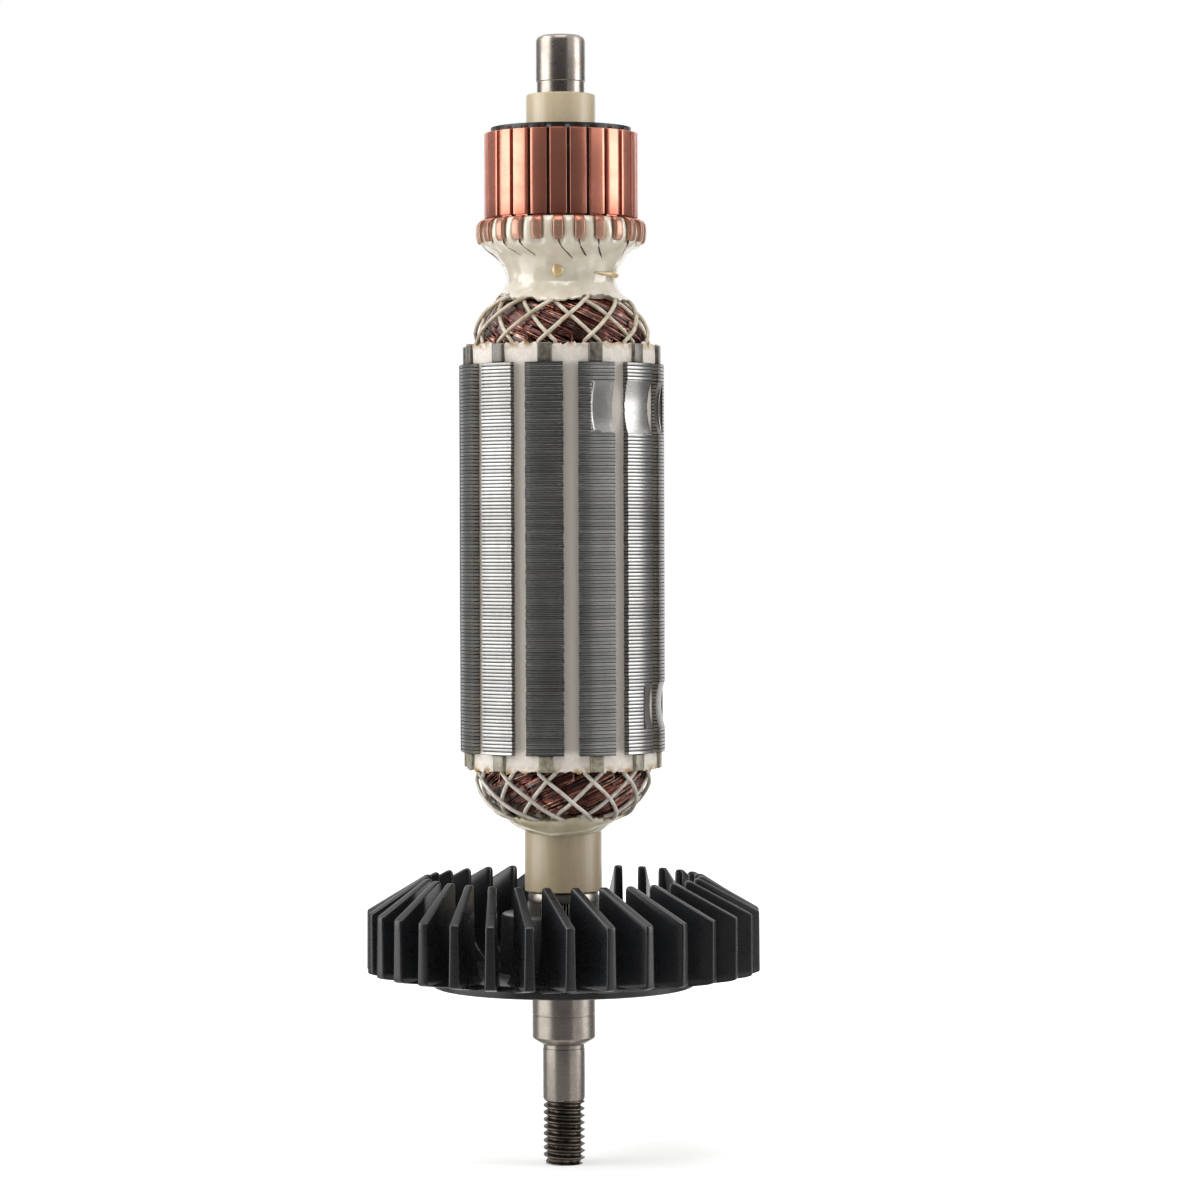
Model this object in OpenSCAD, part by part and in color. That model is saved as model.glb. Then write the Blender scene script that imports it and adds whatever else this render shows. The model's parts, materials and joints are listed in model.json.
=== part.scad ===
// Wound armature of a small universal motor.
// The axis is Z. z = 0 is the underside of the fan, where the drive end
// bearing butts; the commutator is at the top.

/* [Shaft] */
// Diameter of the drive end bearing seat
drive_seat_d = 9; // [8:0.5:10]
// Length of the drive end bearing seat, below the fan
drive_seat_len = 7.5; // [5:0.5:10]
// Length of the cone between the seat and the spigot
drive_cone_len = 0.8; // [0.4:0.1:1.4]
// Diameter of the spigot that carries the pinion
spigot_d = 6; // [5:0.5:7.5]
// Plain length of the spigot
spigot_len = 7; // [5:0.5:12]
// Width of the relief groove above the thread
thread_relief_w = 1.1; // [0.8:0.1:2]
// Diameter of the relief grooves below the spigot
thread_relief_d = 5.6; // [4:0.1:5]
// Length of the thread at the drive end
thread_len = 8.9; // [5:0.1:12]
// Outer diameter of the thread
thread_d = 5.9; // [5:0.1:7]
// Diameter of the knurled part that grips the fan
knurl_d = 10.2; // [9.5:0.1:11]
// Length of the knurled part, above the fan's underside
knurl_len = 13.6; // [12:0.2:18]
// Diameter of the shaft inside the insulating sleeve
core_shaft_d = 8; // [7.5:0.5:9]
// Diameter of the commutator end bearing seat
tail_seat_d = 7; // [6.8:0.1:7.6]
// Length of the commutator end bearing seat
tail_seat_len = 8.4; // [5:0.1:12]
// Chamfer at both shaft ends
end_chamfer = 0.7; // [0.3:0.1:1]

/* [Sleeve] */
// Outer diameter of the insulating sleeve
sleeve_d = 11; // [10.6:0.2:12]
// Outer diameter of the sleeve inside and above the commutator
collar_d = 9.9; // [9.2:0.1:10.4]
// Sleeve length in view above the knurled part
sleeve_low_len = 8.3; // [6:0.1:12]
// Height of the collar above the commutator rim
collar_len = 4.8; // [3:0.2:8]

/* [Core] */
// Outer diameter of the laminated core
core_d = 29.2; // [28.4:0.2:31]
// Length of the laminated core
core_len = 55; // [40:1:70]
// Number of slots
slots = 12; // [12]
// Width of a tooth's parallel neck
tooth_w = 2; // [1.8:0.1:2.2]
// Width of a slot's mouth
mouth_w = 2.2; // [1.6:0.1:2.6]
// Thickness of a tooth's tips
tip_t = 0.9; // [0.7:0.1:1.1]
// Place of a slot's round bottom on the way from the sleeve to the surface
slot_place = 0.46; // [0.45:0.005:0.48]
// Distance of the end plates' edges inside the core's surface
plate_step = 0.4; // [0:0.1:0.8]
// Thickness of the lower end plate
lower_plate_t = 2.3; // [1.6:0.1:3]
// Thickness of the upper end plate
upper_plate_t = 2.7; // [1.6:0.1:3.4]
// Turn of the core so that its teeth sit as they do against the bars
core_turn = -9.4; // [-15:0.1:15]

/* [Balance cuts] */
// Radius of the form cutter's profile, a little flatter than the core
cut_profile_r = 18; // [17:0.5:22]
// Radius of the form cutter at the middle of its profile
cutter_r = 9.5; // [8:0.5:14]
// Depth of the cut near the commutator
upper_cut_depth = 0.8; // [0.4:0.1:1]
// Distance of that cut's middle below the core's upper face
upper_cut_drop = 7.3; // [6:0.1:12]
// Direction of that cut
upper_cut_turn = 57; // [0:1:359]
// Depth of the cut near the fan
lower_cut_depth = 0.5; // [0.3:0.1:1]
// Distance of that cut's middle above the core's lower face
lower_cut_rise = 6.7; // [6:0.1:12]
// Direction of that cut
lower_cut_turn = 90; // [0:1:359]

/* [Coils] */
// Play between a coil's bundle and the paper round it
coil_play = 0.18; // [0.16:0.01:0.3]
// Thickness of a coil's bundle as a share of its width
coil_flat = 0.78; // [0.7:0.01:0.8]
// Distance of the inner layer under the centre of the slot's round bottom
layer_drop = 0.2; // [0.1:0.05:0.2]
// Gap between the two layers in a slot
layer_gap = 0.1; // [0.05:0.05:0.3]
// Gap between neighbouring bundles over the end plates
bundle_gap = 0.35; // [0.3:0.05:0.45]
// Slots between the two sides of one coil
coil_span = 5; // [5]
// Height of the laced coil ends above the end plates
coil_end_h = 7.6; // [7.2:0.1:9]
// Gap between a coil's nose and the sleeve
nose_gap = 0.86; // [0.8:0.02:1.2]
// Distance by which a bundle leans in at half its height
head_lean = 0.7; // [0.3:0.1:1]
// Width of the rounded shoulder of a coil end
shoulder_w = 2.5; // [2:0.1:3]
// Thickness of the paper slot liners
liner_t = 0.25; // [0.15:0.05:0.25]
// Diameter of the lacing cord
lace_d = 0.58; // [0.4:0.02:0.7]
// Angle that a lacing cord turns on its way over the coil ends
lace_sweep = 38; // [25:1:50]
// Angle between a cord's start and the tooth that it passes
lace_start = 5; // [2:1:8]
// Diameter of the binding ring that gathers the cords
binding_d = 0.9; // [0.7:0.1:1.1]
// Diameter of the wire ends that run to the hooks
lead_d = 0.56; // [0.3:0.02:0.6]
// Angle that a wire end turns on its way through the neck
lead_sweep = 45; // [30:1:50]

/* [Resin] */
// Diameter of the neck's waist
waist_d = 15.7; // [15.2:0.1:16.4]
// Height of the neck from the cords to the hooks
neck_h = 6.9; // [6:0.1:10]
// Height of the cap of resin under the lower coil ends
cap_h = 1.7; // [1.2:0.1:2.4]
// Distance of the resin between the hooks inside the hooks' face
resin_step = 0.4; // [0.2:0.1:0.8]

/* [Commutator] */
// Number of bars
bars = 24; // [24]
// Outer diameter of the brush track
track_d = 21.9; // [21.4:0.1:22.4]
// Length of the brush track
track_len = 12.1; // [10:0.1:18]
// Gap between neighbouring bars
bar_gap = 0.5; // [0.4:0.05:0.7]
// Radial depth of a bar
bar_depth = 3.3; // [2.6:0.1:3.6]
// Distance of the hub between the bars below the track's surface
undercut = 0.5; // [0.3:0.1:0.8]
// Diameter over the hooks
hook_d = 24.3; // [24.1:0.1:25]
// Width of a hook
hook_w = 1.43; // [1.2:0.01:1.6]
// Height of a hook
hook_h = 3.7; // [3:0.1:5]
// Thickness of a hook
hook_t = 0.8; // [0.6:0.05:0.8]
// Distance that a bar's foot behind the hook lies under the track
foot_step = 0.5; // [0.4:0.05:0.6]
// Height of the hub's rim above the bars
rim_h = 0.8; // [0.4:0.1:1.5]
// Diameter of the hub's rim
rim_d = 20; // [18:0.5:21]
// Diameter of the hub's collar inside the neck
hub_collar_d = 17.2; // [16:0.2:17.4]
// Height of the hub's collar inside the neck
hub_collar_h = 1.9; // [1:0.1:3]
// Turn of the first bar from the front
bar_turn = -1.5; // [-7:0.1:7]

/* [Fan] */
// Diameter over the blades
fan_d = 55.8; // [50:0.2:64]
// Number of blades
blades = 31; // [20:1:33]
// Diameter of the disc
disc_d = 37.4; // [34:0.2:42]
// Thickness of the disc
disc_t = 1.9; // [1.4:0.1:3]
// Rise of the blades' lower edges above the disc
blade_rise = 0.2; // [0.1:0.05:0.5]
// Diameter of the fan's hub
hub_d = 18; // [15:0.5:22]
// Height of the fan's hub
hub_h = 10.5; // [6:0.5:13]
// Height of a blade's inner top corner
blade_inner_h = 15.7; // [13:0.1:18]
// Height of a blade's outer top corner
blade_outer_h = 10.9; // [7:0.1:13]
// Length of a blade from its outer edge to its inner tip
blade_len = 9.5; // [8:0.1:11]
// Length by which a blade's root reaches further in than its tip
blade_flare = 4.2; // [2:0.2:6]
// Height over which the root's flare dies out
blade_flare_h = 7; // [4:0.5:9]
// Thickness of a blade at its top
blade_top_t = 1.15; // [0.8:0.05:1.5]
// Thickness of a blade at its bottom
blade_base_t = 1.7; // [1.2:0.05:2]
// Lean of a blade from the radius
blade_lean = 20; // [0:1:30]
// Chamfer at a blade's lower outer corner
blade_chamfer = 0.8; // [0.4:0.1:1.5]
// Turn of the first blade from the front
blade_turn = 2.7; // [0:0.1:11]

/* [Hidden] */

$fn = 64;
// clearance between a soft or folded piece and its neighbour
ease = 0.02;
// clearance between the bundles and the cords
skin_gap = 0.05;
// a cut's reach past the face that it leaves
past = 1;

slot_pitch = 360 / slots;
bar_pitch = 360 / bars;

// radii in the core
plate_d = core_d - 2 * plate_step;
slot_top_r = core_d / 2 - tip_t;
slot_bottom_r = sleeve_d / 2 + slot_place * (core_d - sleeve_d) / 2;

// a coil's bundle fills a slot's width at its round bottom
coil_w = 2 * (slot_bottom_r * sin(180 / slots) - tooth_w / 2 - liner_t - coil_play);
coil_t = coil_w * coil_flat;
inner_layer_r = slot_bottom_r - layer_drop;
outer_layer_r = inner_layer_r + coil_t + layer_gap;
nose_r = sleeve_d / 2 + coil_t / 2 + nose_gap;
// rise of a cord over the bundles, and of one cord over another
low_lift = 0.5 * lace_d;
high_lift = 1.3 * lace_d;
head_h = coil_end_h - coil_t / 2 - high_lift - lace_d / 2 - 2 * skin_gap;

// heights up the axis, from the fan's underside
sleeve_z = knurl_len;
cap_z = sleeve_z + sleeve_low_len;
lower_plate_z = cap_z + cap_h + coil_end_h;
core_z = lower_plate_z + lower_plate_t;
upper_plate_z = core_z + core_len;
upper_face_z = upper_plate_z + upper_plate_t;
neck_z = upper_face_z + coil_end_h;
hook_z = neck_z + neck_h;
track_z = hook_z + hook_h;
bar_top_z = track_z + track_len;
rim_z = bar_top_z + rim_h;
collar_z = rim_z + collar_len;
tail_z = collar_z + tail_seat_len;
hub_z = hook_z - hub_collar_h;

foot_r = track_d / 2 - foot_step;
hook_gap_r = hook_d / 2 - hook_t;
lead_r = foot_r + lead_d / 2 + ease;

function two(i) = i < 10 ? str("0", i) : str(i);

// a point at a radius, an angle from the front to the right, and a height
function at(r, turn, z) = [r * sin(turn), -r * cos(turn), z];

function unit(v) = v / norm(v);

function bezier(p, t) =
    pow(1 - t, 3) * p[0] + 3 * t * pow(1 - t, 2) * p[1]
    + 3 * t * t * (1 - t) * p[2] + pow(t, 3) * p[3];

// running totals of a list
function totals(v, i = 0, sum = 0) =
    i >= len(v) ? [] : concat([sum + v[i]], totals(v, i + 1, sum + v[i]));

// ---- the coil ends ----

// middle line of a bundle over the end plate, as [radius, height]:
// out of the slot's outer layer, over the nose and back into the inner layer
climb = [
    [outer_layer_r, 0],
    [outer_layer_r - head_lean, 0.47 * head_h],
    [nose_r + shoulder_w, 0.91 * head_h],
    [nose_r, head_h]
];
fall = [
    [nose_r, head_h],
    [nose_r - 1.5 * nose_gap, head_h],
    [nose_r - 1.2 * nose_gap, 0.3 * head_h],
    [inner_layer_r, 0]
];
climb_steps = 7;
fall_steps = 7;
head_line = concat(
    [for (i = [0 : climb_steps]) bezier(climb, i / climb_steps)],
    [for (i = [1 : fall_steps]) bezier(fall, i / fall_steps)]
);
head_n = len(head_line);

// across the bundle's layer, away from the inside of the loop
function head_normal(i) =
    let (
        a = head_line[max(i - 1, 0)],
        b = head_line[min(i + 1, head_n - 1)],
        d = unit(b - a)
    )
    i == 0 ? [1, 0] : i == head_n - 1 ? [-1, 0] : [d[1], -d[0]];

// the turn is shared out so that neighbouring bundles keep one spacing
spacing_r = slots * (coil_w + bundle_gap) / (2 * PI);
function turn_share(i) =
    let (
        r = (head_line[i][0] + head_line[i - 1][0]) / 2,
        step = norm(head_line[i] - head_line[i - 1])
    )
    step * sqrt(r * r - spacing_r * spacing_r) / r;
shares = concat([0], totals([for (i = [1 : head_n - 1]) turn_share(i)]));
coil_turn = coil_span * slot_pitch;
function head_turn(i) = -coil_turn * shares[i] / shares[head_n - 1];

sides = 8;

// one ring of points round a place on a path
function ring(centre, across, along, w, t) = [
    for (k = [0 : sides - 1])
        let (a = 360 * (k + 0.5) / sides, f = 1 / cos(180 / sides))
        centre + along * (f * w / 2 * cos(a)) + across * (f * t / 2 * sin(a))
];

// up is 1 for the upper coil ends and -1 for the lower ones
function head_place(i, up) =
    at(
        head_line[i][0],
        head_turn(i),
        (up > 0 ? upper_face_z : lower_plate_z) + up * head_line[i][1]
    );

function head_ring(i, up) =
    let (
        n2 = head_normal(i),
        n = unit(at(n2[0], head_turn(i), up * n2[1])),
        t = i == 0 || i == head_n - 1
            ? [0, 0, i == 0 ? up : -up]
            : unit(head_place(i + 1, up) - head_place(i - 1, up)),
        b = unit(cross(t, n)) * up
    )
    ring(head_place(i, up), n, b, coil_w, coil_t);

// skin between rings; closed joins the last ring to the first
function skin(count, n, closed) = concat(
    [
        for (i = [0 : count - (closed ? 1 : 2)], k = [0 : n - 1])
            let (a = i * n, b = ((i + 1) % count) * n, m = (k + 1) % n)
            each [[a + k, b + k, b + m], [a + k, b + m, a + m]]
    ],
    closed ? [] : [
        [for (k = [0 : n - 1]) k],
        [for (k = [n - 1 : -1 : 0]) (count - 1) * n + k]
    ]
);

module coil() {
    rings = concat(
        [for (i = [0 : head_n - 1]) head_ring(i, 1)],
        [for (i = [head_n - 1 : -1 : 0]) head_ring(i, -1)]
    );
    polyhedron(
        points = [for (r = rings) each r],
        faces = skin(len(rings), sides, true)
    );
}

// ---- lacing ----

lace_sides = 5;
lace_steps = 6;
// share of the way to the nose at which the cords are gathered
lace_reach = 0.9;

// middle line of a cord, laid over the bundles' outer layer
function lace_line(i, lift) =
    let (
        t = lace_reach * i / lace_steps,
        p = bezier(climb, t),
        d = unit(bezier(climb, min(t + 0.02, 1)) - bezier(climb, max(t - 0.02, 0))),
        n = [d[1], -d[0]]
    )
    p + n * (coil_t / 2 + skin_gap + lift);

// one cord, from the end plate's face up to the binding ring
module lace(way, lift) {
    line = [for (i = [0 : lace_steps]) lace_line(i, i == 0 ? low_lift : lift)];
    turns = totals(concat([0], [for (i = [1 : lace_steps]) norm(line[i] - line[i - 1])]));
    spots = [
        for (i = [0 : lace_steps])
            at(
                line[i][0],
                way * lace_sweep * turns[i] / turns[lace_steps],
                i == 0 ? ease : line[i][1]
            )
    ];
    rings = [
        for (i = [0 : lace_steps])
            let (
                t = i == 0
                    ? [0, 0, 1]
                    : unit(spots[min(i + 1, lace_steps)] - spots[i - 1]),
                n = unit([spots[i][0], spots[i][1], 0]),
                b = unit(cross(t, n)),
                m = cross(b, t)
            )
            [
                for (k = [0 : lace_sides - 1])
                    let (a = 360 * k / lace_sides)
                    spots[i] + m * (lace_d / 2 * cos(a)) + b * (lace_d / 2 * sin(a))
            ]
    ];
    polyhedron(
        points = [for (r = rings) each r],
        faces = skin(len(rings), lace_sides, false)
    );
}

binding_r = lace_line(lace_steps, low_lift)[0];

// cords both ways over one set of coil ends, standing on z = 0
module lacing() {
    resize([0, 0, coil_end_h - 2 * ease]) {
        union() {
            for (i = [0 : slots - 1]) {
                rotate([0, 0, core_turn + i * slot_pitch - lace_start]) {
                    lace(1, high_lift);
                }
                rotate([0, 0, core_turn + i * slot_pitch + lace_start]) {
                    lace(-1, low_lift);
                }
            }
            translate([0, 0, coil_end_h - ease - binding_d / 2]) {
                rotate_extrude($fn = 36) {
                    translate([binding_r, 0]) {
                        rotate(30) {
                            circle(d = binding_d, $fn = 6);
                        }
                    }
                }
            }
        }
    }
}

// ---- one module per piece ----

module shaft() {
    drive_z = -drive_seat_len - drive_cone_len;
    thread_top = drive_z - spigot_len - thread_relief_w;
    tip_z = thread_top - thread_len;
    color("lightslategray")
    rotate_extrude() {
        polygon([
            [0, tip_z],
            [thread_d / 2 - end_chamfer, tip_z],
            [thread_d / 2, tip_z + end_chamfer],
            [thread_d / 2, thread_top],
            [thread_relief_d / 2, thread_top],
            [thread_relief_d / 2, thread_top + thread_relief_w],
            [spigot_d / 2, thread_top + thread_relief_w],
            [spigot_d / 2, drive_z],
            [drive_seat_d / 2, -drive_seat_len],
            [drive_seat_d / 2, 0],
            [knurl_d / 2, 0],
            [knurl_d / 2, sleeve_z - end_chamfer],
            [knurl_d / 2 - end_chamfer, sleeve_z],
            [core_shaft_d / 2, sleeve_z],
            [core_shaft_d / 2, collar_z],
            [tail_seat_d / 2, collar_z],
            [tail_seat_d / 2, tail_z - end_chamfer],
            [tail_seat_d / 2 - end_chamfer, tail_z],
            [0, tail_z]
        ]);
    }
}

module insulating_sleeve() {
    color("wheat")
    rotate_extrude() {
        polygon([
            [core_shaft_d / 2, sleeve_z],
            [sleeve_d / 2, sleeve_z],
            [sleeve_d / 2, hub_z],
            [collar_d / 2, hub_z],
            [collar_d / 2, collar_z - 0.3],
            [collar_d / 2 - 0.3, collar_z],
            [core_shaft_d / 2, collar_z]
        ]);
    }
}

// outline of a slot's inside, shrunk all round by inset; it points to the front
module slot_outline(inset, top_r) {
    half = slot_pitch / 2;
    // distance of a flank from the slot's middle line at a radius
    neck = tooth_w / 2 + inset;
    round_r = slot_bottom_r * sin(half) - neck;
    top_half = sqrt(top_r * top_r - neck * neck) * sin(half) - neck * cos(half);
    top_y = sqrt(top_r * top_r - top_half * top_half);
    polygon(concat(
        [[top_half, -top_y], [-top_half, -top_y]],
        [
            for (k = [0 : round_steps])
                let (a = 180 - half - k / round_steps * (180 - 2 * half))
                [round_r * cos(a), round_r * sin(a) - slot_bottom_r]
        ]
    ));
}

round_steps = 10;

module slot_cut() {
    slot_outline(0, slot_top_r);
    translate([-mouth_w / 2, -core_d / 2 - past]) {
        square([mouth_w, core_d / 2 + past - slot_bottom_r]);
    }
}

module each_slot() {
    for (i = [0 : slots - 1]) {
        rotate([0, 0, core_turn + (i + 0.5) * slot_pitch]) {
            children();
        }
    }
}

// a form cutter whose hollow profile runs along the core's tangent
module balance_cutter(turn, depth, z) {
    reach = cutter_r + core_d / 2 - depth;
    rotate([0, 0, turn]) {
        translate([0, -reach, z]) {
            rotate([0, 90, 0]) {
                rotate_extrude() {
                    difference() {
                        translate([0, -core_d / 2]) {
                            square([cutter_r + core_d / 4, core_d]);
                        }
                        translate([cutter_r + cut_profile_r, 0]) {
                            circle(r = cut_profile_r);
                        }
                    }
                }
            }
        }
    }
}

module core() {
    color("gainsboro")
    difference() {
        translate([0, 0, core_z]) {
            linear_extrude(height = core_len) {
                difference() {
                    circle(d = core_d);
                    circle(d = sleeve_d);
                    each_slot() {
                        slot_cut();
                    }
                }
            }
        }
        balance_cutter(upper_cut_turn, upper_cut_depth, upper_plate_z - upper_cut_drop);
        balance_cutter(lower_cut_turn, lower_cut_depth, core_z + lower_cut_rise);
    }
}

module end_plate(z, t) {
    translate([0, 0, z]) {
        linear_extrude(height = t) {
            difference() {
                circle(d = plate_d);
                circle(d = sleeve_d);
                each_slot() {
                    slot_outline(0, plate_d / 2 + past);
                }
            }
        }
    }
}

module lower_end_plate() {
    color("darkolivegreen")
    end_plate(lower_plate_z, lower_plate_t);
}

module upper_end_plate() {
    color("dimgray")
    end_plate(upper_plate_z, upper_plate_t);
}

module slot_liner(i) {
    color("ivory")
    translate([0, 0, lower_plate_z]) {
        linear_extrude(height = upper_face_z - lower_plate_z) {
            rotate([0, 0, core_turn + (i - 0.5) * slot_pitch]) {
                difference() {
                    slot_outline(ease, slot_top_r - ease);
                    slot_outline(ease + liner_t, slot_top_r - ease - liner_t);
                }
            }
        }
    }
}

module numbered_coil(i) {
    color("sienna")
    rotate([0, 0, core_turn + (i - 0.5) * slot_pitch]) {
        coil();
    }
}

module lower_lacing() {
    color("linen")
    translate([0, 0, lower_plate_z]) {
        mirror([0, 0, 1]) {
            lacing();
        }
    }
}

module upper_lacing() {
    color("linen")
    translate([0, 0, upper_face_z]) {
        lacing();
    }
}

module lower_resin_cap() {
    color("antiquewhite")
    rotate_extrude() {
        difference() {
            translate([sleeve_d / 2, cap_z]) {
                square([binding_r - sleeve_d / 2 - 0.2, cap_h]);
            }
            translate([binding_r + 1, cap_z - 1.2]) {
                circle(r = 2.2);
            }
        }
    }
}

// a wire end's straight run from a coil's nose to its hook
lead_foot = at(nose_r - 0.6, 0, upper_face_z + head_h + coil_t / 2 + ease);
lead_head = at(lead_r, -lead_sweep, hook_z);

module rod(from, to, d) {
    v = to - from;
    translate(from) {
        rotate([0, acos(v[2] / norm(v)), atan2(v[1], v[0])]) {
            cylinder(d = d, h = norm(v));
        }
    }
}

module each_bar() {
    for (i = [0 : bars - 1]) {
        rotate([0, 0, bar_turn + i * bar_pitch]) {
            children();
        }
    }
}

module neck_blank() {
    waist_z = neck_z + 2;
    brim_r = hook_d / 2 - resin_step;
    rotate_extrude() {
        polygon([
            [sleeve_d / 2, neck_z],
            [waist_d / 2 + 0.6, neck_z],
            [waist_d / 2 + 0.2, neck_z + 0.9],
            [waist_d / 2, waist_z],
            [waist_d / 2 + 0.6, waist_z + 1],
            [waist_d / 2 + 1.3, hook_z - 2.2],
            [brim_r - 1.4, hook_z - 0.8],
            [brim_r, hook_z],
            [brim_r, track_z - 0.9],
            [foot_r + ease, track_z - 0.4],
            [foot_r + ease, hook_z],
            [hub_collar_d / 2, hook_z],
            [hub_collar_d / 2, hub_z],
            [sleeve_d / 2, hub_z]
        ]);
    }
}

module neck_resin() {
    color("floralwhite")
    difference() {
        // grooves in which the wire ends lie
        difference() {
            neck_blank();
            each_bar() {
                rotate([0, 0, lead_sweep]) {
                    rod(lead_foot, lead_head, lead_d);
                }
            }
        }
        // room for the hooks
        each_bar() {
            translate([-hook_w / 2 - ease, -hook_d / 2 - past, hook_z - 0.4]) {
                cube([hook_w + 2 * ease, hook_d / 2 + past - foot_r + 0.4, hook_h + past]);
            }
        }
    }
}

module lead_wires() {
    color("saddlebrown")
    each_bar() {
        rotate([0, 0, lead_sweep]) {
            rod(lead_foot, lead_head, lead_d);
            // pressed a little thinner inside the hook
            translate(lead_head - [0, 0, lead_d / 4]) {
                cylinder(d = lead_d * 0.96, h = hook_h - hook_t + lead_d / 4 - 2 * ease);
            }
        }
    }
}

// wedge between two gaps, pointing to the front
module bar_wedge() {
    inner_r = track_d / 2 - bar_depth;
    outer_r = track_d / 2 + past;
    half = bar_pitch / 2;
    polygon([
        [-inner_r * tan(half) + bar_gap / 2, -inner_r],
        [inner_r * tan(half) - bar_gap / 2, -inner_r],
        [outer_r * tan(half) - bar_gap / 2, -outer_r],
        [-outer_r * tan(half) + bar_gap / 2, -outer_r]
    ]);
}

// plan of one bar
module bar_plan(outer_r) {
    intersection() {
        circle(r = outer_r);
        bar_wedge();
    }
}

// plan of the hub where it holds the bars
module hub_plan(outer_r) {
    difference() {
        circle(r = outer_r);
        circle(d = collar_d);
        each_bar() {
            bar_wedge();
        }
    }
}

module commutator_hub() {
    color("black")
    union() {
        translate([0, 0, hub_z]) {
            linear_extrude(height = hub_collar_h) {
                difference() {
                    circle(d = hub_collar_d);
                    circle(d = collar_d);
                }
            }
        }
        translate([0, 0, hook_z]) {
            linear_extrude(height = hook_h) {
                hub_plan(foot_r - undercut);
            }
        }
        translate([0, 0, track_z]) {
            linear_extrude(height = track_len) {
                hub_plan(track_d / 2 - undercut);
            }
        }
        translate([0, 0, bar_top_z]) {
            linear_extrude(height = rim_h) {
                difference() {
                    circle(d = rim_d);
                    circle(d = collar_d);
                }
            }
        }
    }
}

// side view of a hook: out from the bar, then down over the wire
module hook_profile() {
    bend_r = hook_t;
    translate([hook_gap_r, 0]) {
        square([hook_t, hook_h - bend_r]);
    }
    translate([foot_r - 0.3, hook_h - hook_t]) {
        square([hook_d / 2 - bend_r - foot_r + 0.3, hook_t]);
    }
    intersection() {
        translate([hook_d / 2 - bend_r, hook_h - bend_r]) {
            circle(r = bend_r);
        }
        translate([hook_d / 2 - bend_r, hook_h - bend_r]) {
            square(bend_r);
        }
    }
}

module commutator_bar(i) {
    color("peru")
    rotate([0, 0, bar_turn + (i - 1) * bar_pitch]) {
        translate([0, 0, track_z]) {
            linear_extrude(height = track_len) {
                bar_plan(track_d / 2);
            }
        }
        translate([0, 0, hook_z]) {
            linear_extrude(height = hook_h) {
                bar_plan(foot_r);
            }
        }
        translate([0, 0, hook_z]) {
            rotate([90, 0, -90]) {
                translate([0, 0, -hook_w / 2]) {
                    linear_extrude(height = hook_w) {
                        hook_profile();
                    }
                }
            }
        }
    }
}

blade_base_z = disc_t + blade_rise;

// side view of a blade: a straight outer edge, a sloping top, and an inner
// edge that runs down from the tip and flares in towards the hub
module blade_profile() {
    outer_r = fan_d / 2;
    tip_r = outer_r - blade_len;
    root_r = tip_r - blade_flare;
    polygon(concat(
        [
            [root_r, disc_t / 2],
            [disc_d / 2 - 0.4, disc_t / 2],
            [disc_d / 2 + 0.8, blade_base_z],
            [outer_r - blade_chamfer, blade_base_z],
            [outer_r, blade_base_z + blade_chamfer],
            [outer_r, blade_outer_h],
            [tip_r, blade_inner_h]
        ],
        [
            for (a = [0 : 15 : 90])
                [
                    root_r + blade_flare * cos(a),
                    blade_base_z + blade_flare_h * (1 - sin(a))
                ]
        ]
    ));
}

module fan() {
    outer_r = fan_d / 2;
    color([0.12, 0.12, 0.13])
    difference() {
        union() {
            cylinder(d = disc_d, h = disc_t);
            cylinder(d = hub_d, h = hub_h);
            for (i = [0 : blades - 1]) {
                rotate([0, 0, blade_turn + i * 360 / blades]) {
                    translate([0, -outer_r, 0]) {
                        rotate([0, 0, blade_lean]) {
                            intersection() {
                                translate([-blade_base_t / 2, outer_r, 0]) {
                                    rotate([90, 0, 90]) {
                                        mirror([1, 0, 0]) {
                                            linear_extrude(height = blade_base_t) {
                                                blade_profile();
                                            }
                                        }
                                    }
                                }
                                rotate([90, 0, 0]) {
                                    translate([0, 0, -outer_r]) {
                                        linear_extrude(height = 2 * outer_r) {
                                            polygon([
                                                [-blade_base_t / 2, 0],
                                                [blade_base_t / 2, 0],
                                                [blade_top_t / 2, blade_inner_h],
                                                [-blade_top_t / 2, blade_inner_h]
                                            ]);
                                        }
                                    }
                                }
                            }
                        }
                    }
                }
            }
        }
        translate([0, 0, -past]) {
            cylinder(d = knurl_d, h = hub_h + 2 * past);
        }
    }
}

shaft();
insulating_sleeve();
core();
lower_end_plate();
upper_end_plate();
for (i = [1 : slots]) {
    slot_liner(i);
    numbered_coil(i);
}
lower_lacing();
upper_lacing();
lower_resin_cap();
neck_resin();
lead_wires();
commutator_hub();
for (i = [1 : bars]) {
    commutator_bar(i);
}
fan();
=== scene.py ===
import functools
import json
import math
import random

import bpy
from mathutils import Matrix, Vector, noise

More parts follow.
